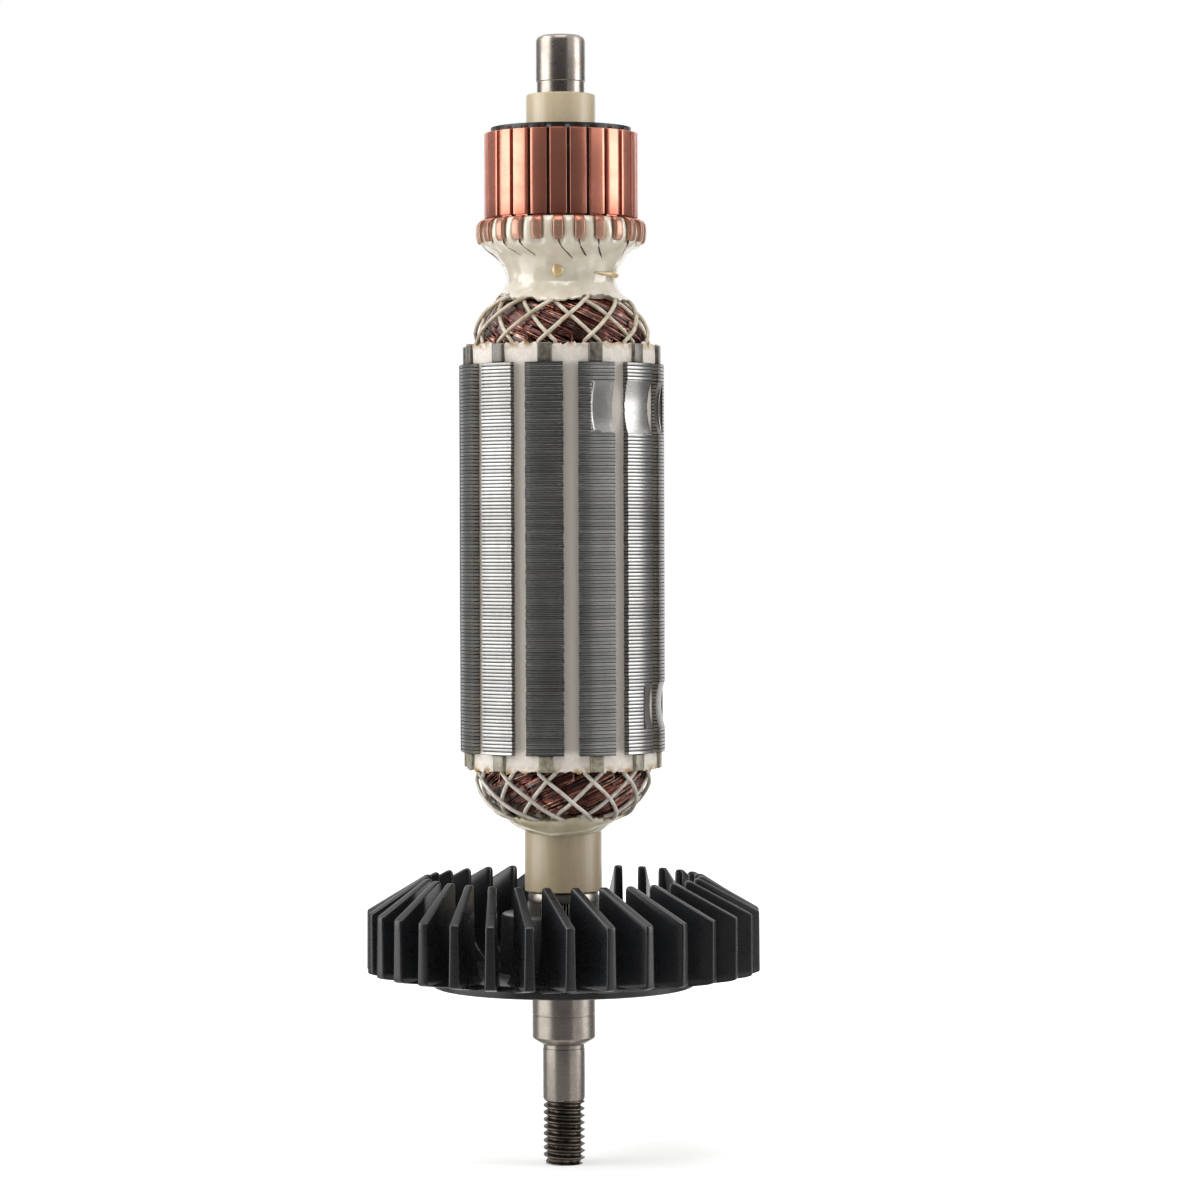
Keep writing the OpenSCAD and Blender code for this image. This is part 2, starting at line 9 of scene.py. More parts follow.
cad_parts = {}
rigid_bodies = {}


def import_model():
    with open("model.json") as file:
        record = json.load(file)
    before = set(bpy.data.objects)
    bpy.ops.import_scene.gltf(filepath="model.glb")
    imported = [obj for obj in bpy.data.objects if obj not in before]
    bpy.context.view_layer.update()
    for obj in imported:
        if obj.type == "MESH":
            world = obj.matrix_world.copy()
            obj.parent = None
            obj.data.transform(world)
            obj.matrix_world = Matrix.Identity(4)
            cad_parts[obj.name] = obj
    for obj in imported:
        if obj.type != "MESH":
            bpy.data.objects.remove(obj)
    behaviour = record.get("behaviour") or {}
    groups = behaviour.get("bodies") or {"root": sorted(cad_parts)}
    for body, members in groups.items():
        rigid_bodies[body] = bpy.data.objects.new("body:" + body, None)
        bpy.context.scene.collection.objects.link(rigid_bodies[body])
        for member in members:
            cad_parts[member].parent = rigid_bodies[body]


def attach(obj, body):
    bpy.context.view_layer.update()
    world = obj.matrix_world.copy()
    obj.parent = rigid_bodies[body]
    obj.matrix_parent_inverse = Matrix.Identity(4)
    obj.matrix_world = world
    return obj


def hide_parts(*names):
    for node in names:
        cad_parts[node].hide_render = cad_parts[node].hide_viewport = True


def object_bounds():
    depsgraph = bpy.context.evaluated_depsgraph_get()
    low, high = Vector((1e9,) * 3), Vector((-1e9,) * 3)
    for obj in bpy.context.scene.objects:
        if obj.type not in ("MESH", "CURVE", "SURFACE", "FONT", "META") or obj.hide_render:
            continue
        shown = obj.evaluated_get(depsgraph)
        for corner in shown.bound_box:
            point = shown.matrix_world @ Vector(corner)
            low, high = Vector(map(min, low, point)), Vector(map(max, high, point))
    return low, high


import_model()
cad_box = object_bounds()

MM = 0.001

# sizes of the armature in millimetres, as in part.scad
DRIVE_SEAT_R = 4.5
SPIGOT_R = 3
THREAD_R = 2.95
THREAD_PITCH = 1
TIP_Z = -25.3
THREAD_TOP_Z = -16.4
SPIGOT_TOP_Z = -8.3
KNURL_R = 5.1
SLEEVE_Z = 13.6
SLEEVE_R = 5.5
SHAFT_R = 4
CAP_Z = 21.9
LOWER_PLATE_Z = 31.2
CORE_Z = 33.5
UPPER_PLATE_Z = 88.5
UPPER_FACE_Z = 91.2
NECK_Z = 98.8
HUB_Z = 103.8
HOOK_Z = 105.7
TRACK_Z = 109.4
BAR_TOP_Z = 121.5
COLLAR_Z = 127.1
TAIL_Z = 135.5
COLLAR_R = 4.95
TAIL_SEAT_R = 3.5
CORE_R = 14.6
SHEET_T = 0.5
SHEETS = round((UPPER_PLATE_Z - CORE_Z) / SHEET_T)
SLOTS = 12
SLOT_PITCH = 360 / SLOTS
CORE_TURN = -9.4
BARS = 24
BAR_PITCH = 360 / BARS
BAR_TURN = -1.5
TRACK_R = 10.95
BAR_DEPTH = 3.3
BAR_GAP = 0.5
FOOT_R = 10.45
HOOK_W = 1.43
HOOK_T = 0.8
FAN_R = 27.9
BLADES = 31
BLADE_TURN = 2.7
BLADE_LEAN = 20
DISC_R = 18.7
FAN_HUB_R = 9
FAN_HUB_H = 10.5


# ---- modelling ----


def clear_selection():
    bpy.ops.object.select_all(action="DESELECT")


def pick(piece):
    """Makes one piece the only one selected, and active."""
    clear_selection()
    piece.select_set(True)
    bpy.context.view_layer.objects.active = piece


def edit(piece, select="DESELECT"):
    """Opens a piece for editing, with nothing or everything selected."""
    pick(piece)
    bpy.ops.object.mode_set(mode="EDIT")
    bpy.ops.mesh.select_all(action=select)


def leave_edit():
    bpy.ops.object.mode_set(mode="OBJECT")


def name_piece(piece, name):
    piece.name = name
    piece.data.name = name
    return piece


def start(name, add_primitive, **settings):
    """Adds a primitive, the only piece selected, and names it."""
    clear_selection()
    add_primitive(**settings)
    return name_piece(bpy.context.object, name)


def own_copy(piece, name):
    """Copies a piece with a mesh of its own."""
    copy = piece.copy()
    copy.data = piece.data.copy()
    bpy.context.collection.objects.link(copy)
    return name_piece(copy, name)


def settle(piece):
    """Moves a piece's place, turn and scale into its mesh."""
    pick(piece)
    bpy.ops.object.transform_apply(location=True, rotation=True, scale=True)


def shift_piece(piece, step):
    """Moves a piece by a step in millimetres."""
    piece.location = Vector(step) * MM
    settle(piece)


def turn_piece(piece, degrees):
    """Turns a piece about the armature's axis."""
    piece.rotation_euler = (0, 0, math.radians(degrees))
    settle(piece)


def select_vertices(piece, test):
    """Selects the vertices whose place in millimetres passes a test."""
    bpy.ops.mesh.select_all(action="DESELECT")
    leave_edit()
    for vertex in piece.data.vertices:
        vertex.select = bool(test(vertex.co / MM))
    bpy.ops.object.mode_set(mode="EDIT")


def extrude(y, z):
    """Draws the selected face out by a step in millimetres."""
    bpy.ops.mesh.extrude_region_move(TRANSFORM_OT_translate={"value": (0, y * MM, z * MM)})


def extrude_ring(z):
    """Draws an open ring of edges up by a step in millimetres."""
    bpy.ops.mesh.extrude_edges_move(TRANSFORM_OT_translate={"value": (0, 0, z * MM)})


def move(x, y, z):
    """Moves what is selected by a step in millimetres."""
    bpy.ops.transform.translate(value=(x * MM, y * MM, z * MM))


def widen(x, y, centre=(0, 0, 0)):
    """Scales what is selected sideways, about a centre in millimetres."""
    bpy.ops.transform.resize(value=(x, y, 1), center_override=tuple(c * MM for c in centre))


def slice_at(place, normal):
    """Cuts new edges round the whole mesh with a plane through a place in millimetres."""
    bpy.ops.mesh.select_all(action="SELECT")
    bpy.ops.mesh.bisect(plane_co=tuple(c * MM for c in place), plane_no=normal)


def apply_modifiers(piece):
    """Makes the modifiers' result the piece's own mesh."""
    pick(piece)
    for modifier in list(piece.modifiers):
        bpy.ops.object.modifier_apply(modifier=modifier.name)


def add_modifier(piece, kind, **settings):
    modifier = piece.modifiers.new(kind.lower(), kind)
    for name, value in settings.items():
        setattr(modifier, name, value)
    return modifier


def bevel_sharp(piece, width, segments=2, sharper_than=30):
    """Breaks the sharp edges, as tumbling or a mould's radius does."""
    add_modifier(
        piece, "BEVEL", width=width * MM, segments=segments, limit_method="ANGLE",
        angle_limit=math.radians(sharper_than), use_clamp_overlap=True
    )
    apply_modifiers(piece)


def smooth(piece, angle=35):
    pick(piece)
    bpy.ops.object.shade_smooth_by_angle(angle=math.radians(angle))


def face_outwards(piece):
    edit(piece, "SELECT")
    bpy.ops.mesh.remove_doubles(threshold=1e-7)
    bpy.ops.mesh.normals_make_consistent(inside=False)
    leave_edit()


def turned(name, profile, sides, bored=False):
    """Turns a piece about the axis, one ring of edges for each [radius, height]."""
    r, z = profile[0]
    piece = start(
        name, bpy.ops.mesh.primitive_circle_add, vertices=sides, radius=r * MM,
        fill_type="NOTHING" if bored else "NGON", location=(0, 0, z * MM)
    )
    settle(piece)
    edit(piece, "SELECT")
    if bored:
        profile = profile + profile[:1]
    for (r, z), (next_r, next_z) in zip(profile, profile[1:]):
        if bored:
            extrude_ring(next_z - z)
        else:
            extrude(0, next_z - z)
        widen(next_r / r, next_r / r, (0, 0, next_z))
    leave_edit()
    face_outwards(piece)
    return piece


def node_copy(node, name):
    """Copies a CAD node as a merged mesh of its own."""
    piece = own_copy(bpy.data.objects[node], name)
    piece.data.materials.clear()
    piece.rotation_mode = "XYZ"
    edit(piece, "SELECT")
    bpy.ops.mesh.remove_doubles(threshold=1e-7)
    bpy.ops.mesh.dissolve_limited(angle_limit=math.radians(0.5))
    leave_edit()
    return piece


def turned_copy(piece, name, degrees):
    """Copies a piece, turned about the armature's axis."""
    copy = own_copy(piece, name)
    turn_piece(copy, degrees)
    return copy


def joined(pieces, name):
    clear_selection()
    for piece in pieces:
        piece.select_set(True)
    bpy.context.view_layer.objects.active = pieces[0]
    bpy.ops.object.join()
    return name_piece(bpy.context.object, name)


def wires(name, lines, radius, sides):
    """Draws round wires along lines of points in millimetres, as closed tubes."""
    piece = start(name, bpy.ops.curve.primitive_nurbs_path_add)
    curve = piece.data
    curve.splines.clear()
    curve.bevel_depth = radius * MM
    curve.bevel_resolution = max(0, sides // 2 - 2)
    curve.use_fill_caps = True
    curve.resolution_u = 1
    for line in lines:
        spline = curve.splines.new("POLY")
        spline.points.add(len(line) - 1)
        for point, place in zip(spline.points, line):
            point.co = (place[0] * MM, place[1] * MM, place[2] * MM, 1)
            point.radius = place[3] if len(place) > 3 else 1
    settle(piece)
    bpy.ops.object.convert(target="MESH")
    piece = name_piece(bpy.context.object, name)
    face_outwards(piece)
    smooth(piece, 60)
    return piece


def at(r, turn, z):
    """A point at a radius, an angle from the front to the right, and a height."""
    return (r * math.sin(math.radians(turn)), -r * math.cos(math.radians(turn)), z)


def turn_of(p):
    """The angle of a point from the front to the right."""
    return math.degrees(math.atan2(p.x, -p.y))


def finish_piece(piece, material, slot, *nodes):
    """Gives a piece its finish, fixes it to the shaft and retires its CAD nodes."""
    if material:
        piece.data.materials.clear()
        piece.data.materials.append(material)
    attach(piece, "root")
    if nodes:
        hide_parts(*nodes)


# ---- materials ----

# most of a noise pattern's values lie between these
NOISE_SPAN = {"From Min": 0.3, "From Max": 0.7}


def colour(code):
    """Turns an sRGB hex code into a linear colour."""
    channels = [int(code[i : i + 2], 16) / 255 for i in (1, 3, 5)]
    return [c / 12.92 if c <= 0.04045 else ((c + 0.055) / 1.055) ** 2.4 for c in channels] + [1]


def fill(tree, node, inputs):
    """Gives a node's inputs their links or values, with colours as hex codes."""
    for name, value in inputs.items():
        if isinstance(value, bpy.types.NodeSocket):
            tree.links.new(value, node.inputs[name])
        elif isinstance(value, str):
            node.inputs[name].default_value = colour(value)
        else:
            node.inputs[name].default_value = value


def add_node(tree, kind, inputs, output=0, **settings):
    """Adds a shader node with its settings and inputs, and returns one of its outputs."""
    node = tree.nodes.new(kind)
    for name, value in settings.items():
        setattr(node, name, value)
    fill(tree, node, inputs)
    return node.outputs[output]


def finish_surface(material, surface):
    """Gives a material's Principled surface its values and links."""
    tree = material.node_tree
    fill(tree, tree.nodes["Principled BSDF"], surface)
    return material


def new_material(name, surface):
    """Starts a material, and returns it with what adds its nodes and its place in metres."""
    material = bpy.data.materials.new(name)
    material.use_nodes = True
    add = functools.partial(add_node, material.node_tree)
    finish_surface(material, surface)
    return material, add, add("ShaderNodeTexCoord", {}, "Object")


def off_axis(add, place):
    """How far a place is from the shaft's axis."""
    level = add("ShaderNodeVectorMath", {0: place, 1: (1, 1, 0)}, operation="MULTIPLY")
    return add("ShaderNodeVectorMath", {0: level}, "Value", operation="LENGTH")


def turned_steel():
    """Turned and ground carbon steel, oiled: satin grey with close rings and a faint brown film."""
    material, add, place = new_material("turned_steel", {"Metallic": 1.0})
    along = add("ShaderNodeMapping", {"Vector": place, "Scale": (0.06, 0.06, 1)})
    # grinding leaves finer rings than these, which are as coarse as they need to show
    rings = add("ShaderNodeTexNoise", {"Vector": along, "Scale": 1 / (0.15 * MM), "Detail": 2})
    cloud = add("ShaderNodeTexNoise", {"Vector": place, "Scale": 1 / (2.2 * MM), "Detail": 5})
    tone = add("ShaderNodeMix", {0: rings, 6: "#978f87", 7: "#a59d95"}, 2, data_type="RGBA")
    film = add("ShaderNodeMapRange", {
        "Value": cloud, "From Min": 0.45, "From Max": 0.75, "To Max": 0.4
    })
    tone = add("ShaderNodeMix", {0: film, 6: tone, 7: "#665c52"}, 2, data_type="RGBA")
    rough = add("ShaderNodeMapRange", {"Value": cloud, **NOISE_SPAN, "To Min": 0.24, "To Max": 0.33})
    height = add("ShaderNodeBump", {"Height": rings, "Distance": 0.001 * MM, "Strength": 0.25})
    return finish_surface(material, {"Base Color": tone, "Roughness": rough, "Normal": height})


def knurled_steel():
    """Serrations pressed into steel: rough flanks, with painted shade near black in the grooves and
    painted glints up to near white in dots on the crests.
    """
    material, add, place = new_material("knurled_steel", {"Metallic": 1.0})
    grit = add("ShaderNodeTexNoise", {"Vector": place, "Scale": 1 / (0.25 * MM), "Detail": 3})
    out = off_axis(add, place)
    crest = add("ShaderNodeMapRange", {
        "Value": out, "From Min": (KNURL_R - 0.22) * MM, "From Max": (KNURL_R - 0.05) * MM
    })
    # painted glints: the crests' tone rises to near white in random dots
    tone = add("ShaderNodeMix", {0: grit, 6: "#99948c", 7: "#ece8e0"}, 2, data_type="RGBA")
    # painted shade: the grooves, below the crests, are painted near black
    tone = add("ShaderNodeMix", {0: crest, 6: "#12100e", 7: tone}, 2, data_type="RGBA")
    rough = add("ShaderNodeMapRange", {"Value": grit, **NOISE_SPAN, "To Min": 0.5, "To Max": 0.3})
    height = add("ShaderNodeBump", {"Height": grit, "Distance": 0.05 * MM, "Strength": 0.7})
    return finish_surface(material, {"Base Color": tone, "Roughness": rough, "Normal": height})


def oiled_thread_steel():
    """Cut thread in oiled steel: dark flanks with a brown film and brighter crests."""
    material, add, place = new_material("oiled_thread_steel", {"Metallic": 1.0})
    cloud = add("ShaderNodeTexNoise", {"Vector": place, "Scale": 1 / (0.8 * MM), "Detail": 5})
    grit = add("ShaderNodeTexNoise", {"Vector": place, "Scale": 1 / (0.15 * MM), "Detail": 3})
    out = off_axis(add, place)
    crest = add("ShaderNodeMapRange", {
        "Value": out, "From Min": (THREAD_R - 0.25) * MM, "From Max": THREAD_R * MM
    })
    film = add("ShaderNodeMapRange", {"Value": cloud, "From Min": 0.35, "From Max": 0.65})
    tone = add("ShaderNodeMix", {0: film, 6: "#6a645c", 7: "#3a322b"}, 2, data_type="RGBA")
    tone = add("ShaderNodeMix", {0: crest, 6: tone, 7: "#6e675e"}, 2, data_type="RGBA")
    rough = add("ShaderNodeMapRange", {"Value": cloud, **NOISE_SPAN, "To Min": 0.26, "To Max": 0.45})
    height = add("ShaderNodeBump", {"Height": grit, "Distance": 0.006 * MM, "Strength": 0.5})
    return finish_surface(material, {"Base Color": tone, "Roughness": rough, "Normal": height})


def sleeve_phenolic():
    """Moulded tan phenolic: satin, with faint streaks drawn along it and small brown specks."""
    material, add, place = new_material("sleeve_phenolic", {"Coat Weight": 0.8, "Coat Roughness": 0.28})
    along = add("ShaderNodeMapping", {"Vector": place, "Scale": (1, 1, 0.1)})
    streak = add("ShaderNodeTexNoise", {"Vector": along, "Scale": 1 / (1.1 * MM), "Detail": 5})
    fine = add("ShaderNodeTexNoise", {"Vector": place, "Scale": 1 / (0.3 * MM), "Detail": 5})
    share = add("ShaderNodeMapRange", {"Value": streak, **NOISE_SPAN})
    tone = add("ShaderNodeMix", {0: share, 6: "#b3a280", 7: "#bfae8e"}, 2, data_type="RGBA")
    speck = add("ShaderNodeMapRange", {
        "Value": fine, "From Min": 0.55, "From Max": 0.78, "To Max": 0.35
    })
    tone = add("ShaderNodeMix", {0: speck, 6: tone, 7: "#84714f"}, 2, data_type="RGBA")
    rough = add("ShaderNodeMapRange", {"Value": fine, **NOISE_SPAN, "To Min": 0.36, "To Max": 0.52})
    height = add("ShaderNodeBump", {"Height": streak, "Distance": 0.02 * MM, "Strength": 0.4})
    return finish_surface(material, {"Base Color": tone, "Roughness": rough, "Normal": height})


def sheet_steel():
    """Edges of stacked electrical steel sheets, turned to size: grey, with dark joints between."""
    material, add, place = new_material("sheet_steel", {"Metallic": 1.0})
    height = add("ShaderNodeSeparateXYZ", {"Vector": place}, "Z")
    layer = add(
        "ShaderNodeMath", {0: height, 1: 1 / (SHEET_T * MM), 2: -CORE_Z / SHEET_T},
        operation="MULTIPLY_ADD"
    )
    number = add("ShaderNodeMath", {0: layer}, operation="FLOOR")
    each = add("ShaderNodeTexWhiteNoise", {"W": number}, noise_dimensions="1D")
    upright = add("ShaderNodeMapping", {"Vector": place, "Scale": (1, 1, 0.3)})
    cloud = add("ShaderNodeTexNoise", {"Vector": upright, "Scale": 1 / (3.5 * MM), "Detail": 5})
    level = add("ShaderNodeMapping", {"Vector": place, "Scale": (1, 1, 3)})
    grit = add("ShaderNodeTexNoise", {"Vector": level, "Scale": 1 / (0.3 * MM), "Detail": 4})
    tone = add("ShaderNodeMix", {0: each, 6: "#8e8d8b", 7: "#a9a8a5"}, 2, data_type="RGBA")
    film = add("ShaderNodeMapRange", {
        "Value": cloud, "From Min": 0.45, "From Max": 0.7, "To Max": 0.35
    })
    tone = add("ShaderNodeMix", {0: film, 6: tone, 7: "#706d69"}, 2, data_type="RGBA")
    dirt = add("ShaderNodeMapRange", {"Value": grit, "From Min": 0.55, "From Max": 0.75, "To Max": 0.4})
    tone = add("ShaderNodeMix", {0: dirt, 6: tone, 7: "#4d4b49"}, 2, data_type="RGBA")
    # the joints lie where the layer number is whole
    near = add("ShaderNodeMath", {0: layer}, operation="FRACT")
    side = add("ShaderNodeMath", {0: near, 1: 0.5}, operation="SUBTRACT")
    side = add("ShaderNodeMath", {0: side}, operation="ABSOLUTE")
    joint = add("ShaderNodeMapRange", {"Value": side, "From Min": 0.3, "From Max": 0.44})
    tone = add("ShaderNodeMix", {0: joint, 6: tone, 7: "#191817"}, 2, data_type="RGBA")
    rough = add("ShaderNodeMath", {0: joint, 1: 0.3, 2: 0.27}, operation="MULTIPLY_ADD")
    raised = add("ShaderNodeBump", {"Height": grit, "Distance": 0.008 * MM, "Strength": 0.4})
    return finish_surface(material, {"Base Color": tone, "Roughness": rough, "Normal": raised})


def milled_steel():
    """Balance cut left by a form cutter: clean satin steel with fine cross marks."""
    material, add, place = new_material("milled_steel", {"Metallic": 1.0, "Roughness": 0.27})
    across = add("ShaderNodeMapping", {"Vector": place, "Scale": (0.3, 0.3, 1.2)})
    # the marks are drawn as coarse as they need to show
    marks = add("ShaderNodeTexNoise", {"Vector": across, "Scale": 1 / (0.18 * MM), "Detail": 3})
    tone = add("ShaderNodeMix", {0: marks, 6: "#827f7d", 7: "#a9a7a4"}, 2, data_type="RGBA")
    height = add("ShaderNodeBump", {"Height": marks, "Distance": 0.004 * MM, "Strength": 0.5})
    return finish_surface(material, {"Base Color": tone, "Normal": height})


def plate_fibre(name, light, dark):
    """Pressed end plate of vulcanised fibre, soaked with resin: mottled, with a satin skin."""
    material, add, place = new_material(name, {"Coat Weight": 0.6, "Coat Roughness": 0.18})
    mottle = add("ShaderNodeTexNoise", {"Vector": place, "Scale": 1 / (0.7 * MM), "Detail": 5})
    share = add("ShaderNodeMapRange", {"Value": mottle, "From Min": 0.35, "From Max": 0.66})
    tone = add("ShaderNodeMix", {0: share, 6: dark, 7: light}, 2, data_type="RGBA")
    rough = add("ShaderNodeMapRange", {"Value": mottle, **NOISE_SPAN, "To Min": 0.28, "To Max": 0.55})
    height = add("ShaderNodeBump", {"Height": mottle, "Distance": 0.05 * MM, "Strength": 0.5})
    return finish_surface(material, {"Base Color": tone, "Roughness": rough, "Normal": height})


def slot_paper():
    """Slot liner of pressboard: matte cream paper, stained yellow by resin near its torn ends."""
    material, add, place = new_material("slot_paper", {
        "Roughness": 0.55, "Subsurface Weight": 0.08, "Subsurface Scale": 0.3 * MM
    })
    height = add("ShaderNodeSeparateXYZ", {"Vector": place}, "Z")
    middle = (LOWER_PLATE_Z + UPPER_FACE_Z) / 2 * MM
    end = (UPPER_FACE_Z - LOWER_PLATE_Z) / 2 * MM
    away = add("ShaderNodeMath", {0: height, 1: middle}, operation="SUBTRACT")
    away = add("ShaderNodeMath", {0: away}, operation="ABSOLUTE")
    fibre = add("ShaderNodeTexNoise", {"Vector": place, "Scale": 1 / (0.5 * MM), "Detail": 6})
    cloud = add("ShaderNodeTexNoise", {"Vector": place, "Scale": 1 / (1.3 * MM), "Detail": 3})
    share = add("ShaderNodeMapRange", {"Value": fibre, **NOISE_SPAN})
    tone = add("ShaderNodeMix", {0: share, 6: "#ddd3c8", 7: "#ebe4da"}, 2, data_type="RGBA")
    # painted shade: the part that lies recessed in the slot, between the teeth, is greyed
    inside = add("ShaderNodeMapRange", {
        "Value": away, "From Min": end - 2.4 * MM, "From Max": end - 3.2 * MM, "To Max": 0.8
    })
    tone = add("ShaderNodeMix", {0: inside, 6: tone, 7: "#b4ada3"}, 2, data_type="RGBA")
    near_end = add("ShaderNodeMapRange", {
        "Value": away, "From Min": end - 1.0 * MM, "From Max": end + 0.2 * MM
    })
    patch = add("ShaderNodeMapRange", {"Value": cloud, "From Min": 0.4, "From Max": 0.6, "To Max": 1.3})
    stain = add("ShaderNodeMath", {0: near_end, 1: patch}, operation="MULTIPLY")
    tone = add("ShaderNodeMix", {0: stain, 6: tone, 7: "#a07c3c"}, 2, data_type="RGBA")
    raised = add("ShaderNodeBump", {"Height": fibre, "Distance": 0.03 * MM, "Strength": 0.5})
    return finish_surface(material, {"Base Color": tone, "Normal": raised})


def enamelled_copper(name, light, dark, glint):
    """Enamelled copper wire under a red-brown clear coat: some strands are painted light as glints, and
    some painted dark as shade.
    """
    material, add, place = new_material(name, {
        "Metallic": 0.8, "Coat Weight": 1.0, "Coat Roughness": 0.05
    })
    each = add("ShaderNodeNewGeometry", {}, "Random Per Island")
    spread = add("ShaderNodeTexNoise", {"Vector": place, "Scale": 1 / (0.9 * MM), "Detail": 2})
    dirt = add("ShaderNodeTexNoise", {"Vector": place, "Scale": 1 / (0.3 * MM), "Detail": 4})
    share = add("ShaderNodeMapRange", {"Value": spread, **NOISE_SPAN})
    tone = add("ShaderNodeMix", {0: share, 6: dark, 7: light}, 2, data_type="RGBA")
    # painted highlight: random strands take the glint tone
    painted_glint_share = add("ShaderNodeMapRange", {"Value": each, "From Min": 0.62, "From Max": 0.76, "To Max": 1.0})
    painted_glint_share = add("ShaderNodeMath", {0: painted_glint_share, 1: share}, operation="MULTIPLY")
    tone = add("ShaderNodeMix", {0: painted_glint_share, 6: tone, 7: glint}, 2, data_type="RGBA")
    # painted shade: other random strands are darkened
    painted_shade_share = add("ShaderNodeMapRange", {"Value": each, "From Min": 0.4, "From Max": 0.25, "To Max": 0.7})
    tone = add("ShaderNodeMix", {0: painted_shade_share, 6: tone, 7: dark}, 2, data_type="RGBA")
    dark_spot = add("ShaderNodeMapRange", {
        "Value": dirt, "From Min": 0.55, "From Max": 0.75, "To Max": 0.5
    })
    tone = add("ShaderNodeMix", {0: dark_spot, 6: tone, 7: "#1c0a06"}, 2, data_type="RGBA")
    rough = add("ShaderNodeMapRange", {"Value": dirt, **NOISE_SPAN, "To Min": 0.12, "To Max": 0.24})
    return finish_surface(material, {"Base Color": tone, "Roughness": rough})


def lacing_cord(name, light, dark):
    """Twisted polyester lacing cord soaked in resin: cream and slightly glossy, with a fine twist."""
    material, add, place = new_material(name, {
        "Roughness": 0.4, "Coat Weight": 0.35, "Coat Roughness": 0.22
    })
    # the yarn's fibres are drawn as coarse as they need to show
    twist = add("ShaderNodeTexNoise", {"Vector": place, "Scale": 1 / (0.16 * MM), "Detail": 2})
    cloud = add("ShaderNodeTexNoise", {"Vector": place, "Scale": 1 / (1.4 * MM), "Detail": 3})
    share = add("ShaderNodeMapRange", {"Value": cloud, "From Min": 0.35, "From Max": 0.65})
    tone = add("ShaderNodeMix", {0: share, 6: dark, 7: light}, 2, data_type="RGBA")
    gap = add("ShaderNodeMapRange", {"Value": twist, "From Min": 0.5, "From Max": 0.75, "To Max": 0.5})
    tone = add("ShaderNodeMix", {0: gap, 6: tone, 7: "#8a7a64"}, 2, data_type="RGBA")
    height = add("ShaderNodeBump", {"Height": twist, "Distance": 0.04 * MM, "Strength": 0.6})
    return finish_surface(material, {"Base Color": tone, "Normal": height})


def impregnating_resin(name, light, dark):
    """Cured epoxy resin: glossy, cream and a little translucent, with soft runs."""
    material, add, place = new_material(name, {
        "Subsurface Weight": 0.3, "Subsurface Radius": (1.0, 0.85, 0.6), "Subsurface Scale": 0.8 * MM,
        "Coat Weight": 1.0, "Coat Roughness": 0.06
    })
    cloud = add("ShaderNodeTexNoise", {"Vector": place, "Scale": 1 / (2.4 * MM), "Detail": 3})
    upright = add("ShaderNodeMapping", {"Vector": place, "Scale": (1, 1, 0.4)})
    runs = add("ShaderNodeTexNoise", {"Vector": upright, "Scale": 1 / (1.1 * MM), "Detail": 2})
    share = add("ShaderNodeMapRange", {"Value": cloud, "From Min": 0.25, "From Max": 0.75})
    tone = add("ShaderNodeMix", {0: share, 6: light, 7: dark}, 2, data_type="RGBA")
    rough = add("ShaderNodeMapRange", {"Value": cloud, **NOISE_SPAN, "To Min": 0.12, "To Max": 0.22})
    height = add("ShaderNodeBump", {"Height": runs, "Distance": 0.1 * MM, "Strength": 0.4})
    return finish_surface(material, {"Base Color": tone, "Roughness": rough, "Normal": height})


def moulded_phenolic():
    """Moulded commutator body: black and satin, with a few pale specks of filler."""
    material, add, place = new_material("moulded_phenolic", {})
    filler = add("ShaderNodeTexNoise", {"Vector": place, "Scale": 1 / (0.3 * MM), "Detail": 4})
    speck = add("ShaderNodeMapRange", {
        "Value": filler, "From Min": 0.63, "From Max": 0.8, "To Max": 0.7
    })
    tone = add("ShaderNodeMix", {0: speck, 6: "#1a1817", 7: "#7a746c"}, 2, data_type="RGBA")
    rough = add("ShaderNodeMapRange", {"Value": filler, **NOISE_SPAN, "To Min": 0.25, "To Max": 0.5})
    height = add("ShaderNodeBump", {"Height": filler, "Distance": 0.015 * MM, "Strength": 0.5})
    return finish_surface(material, {"Base Color": tone, "Roughness": rough, "Normal": height})


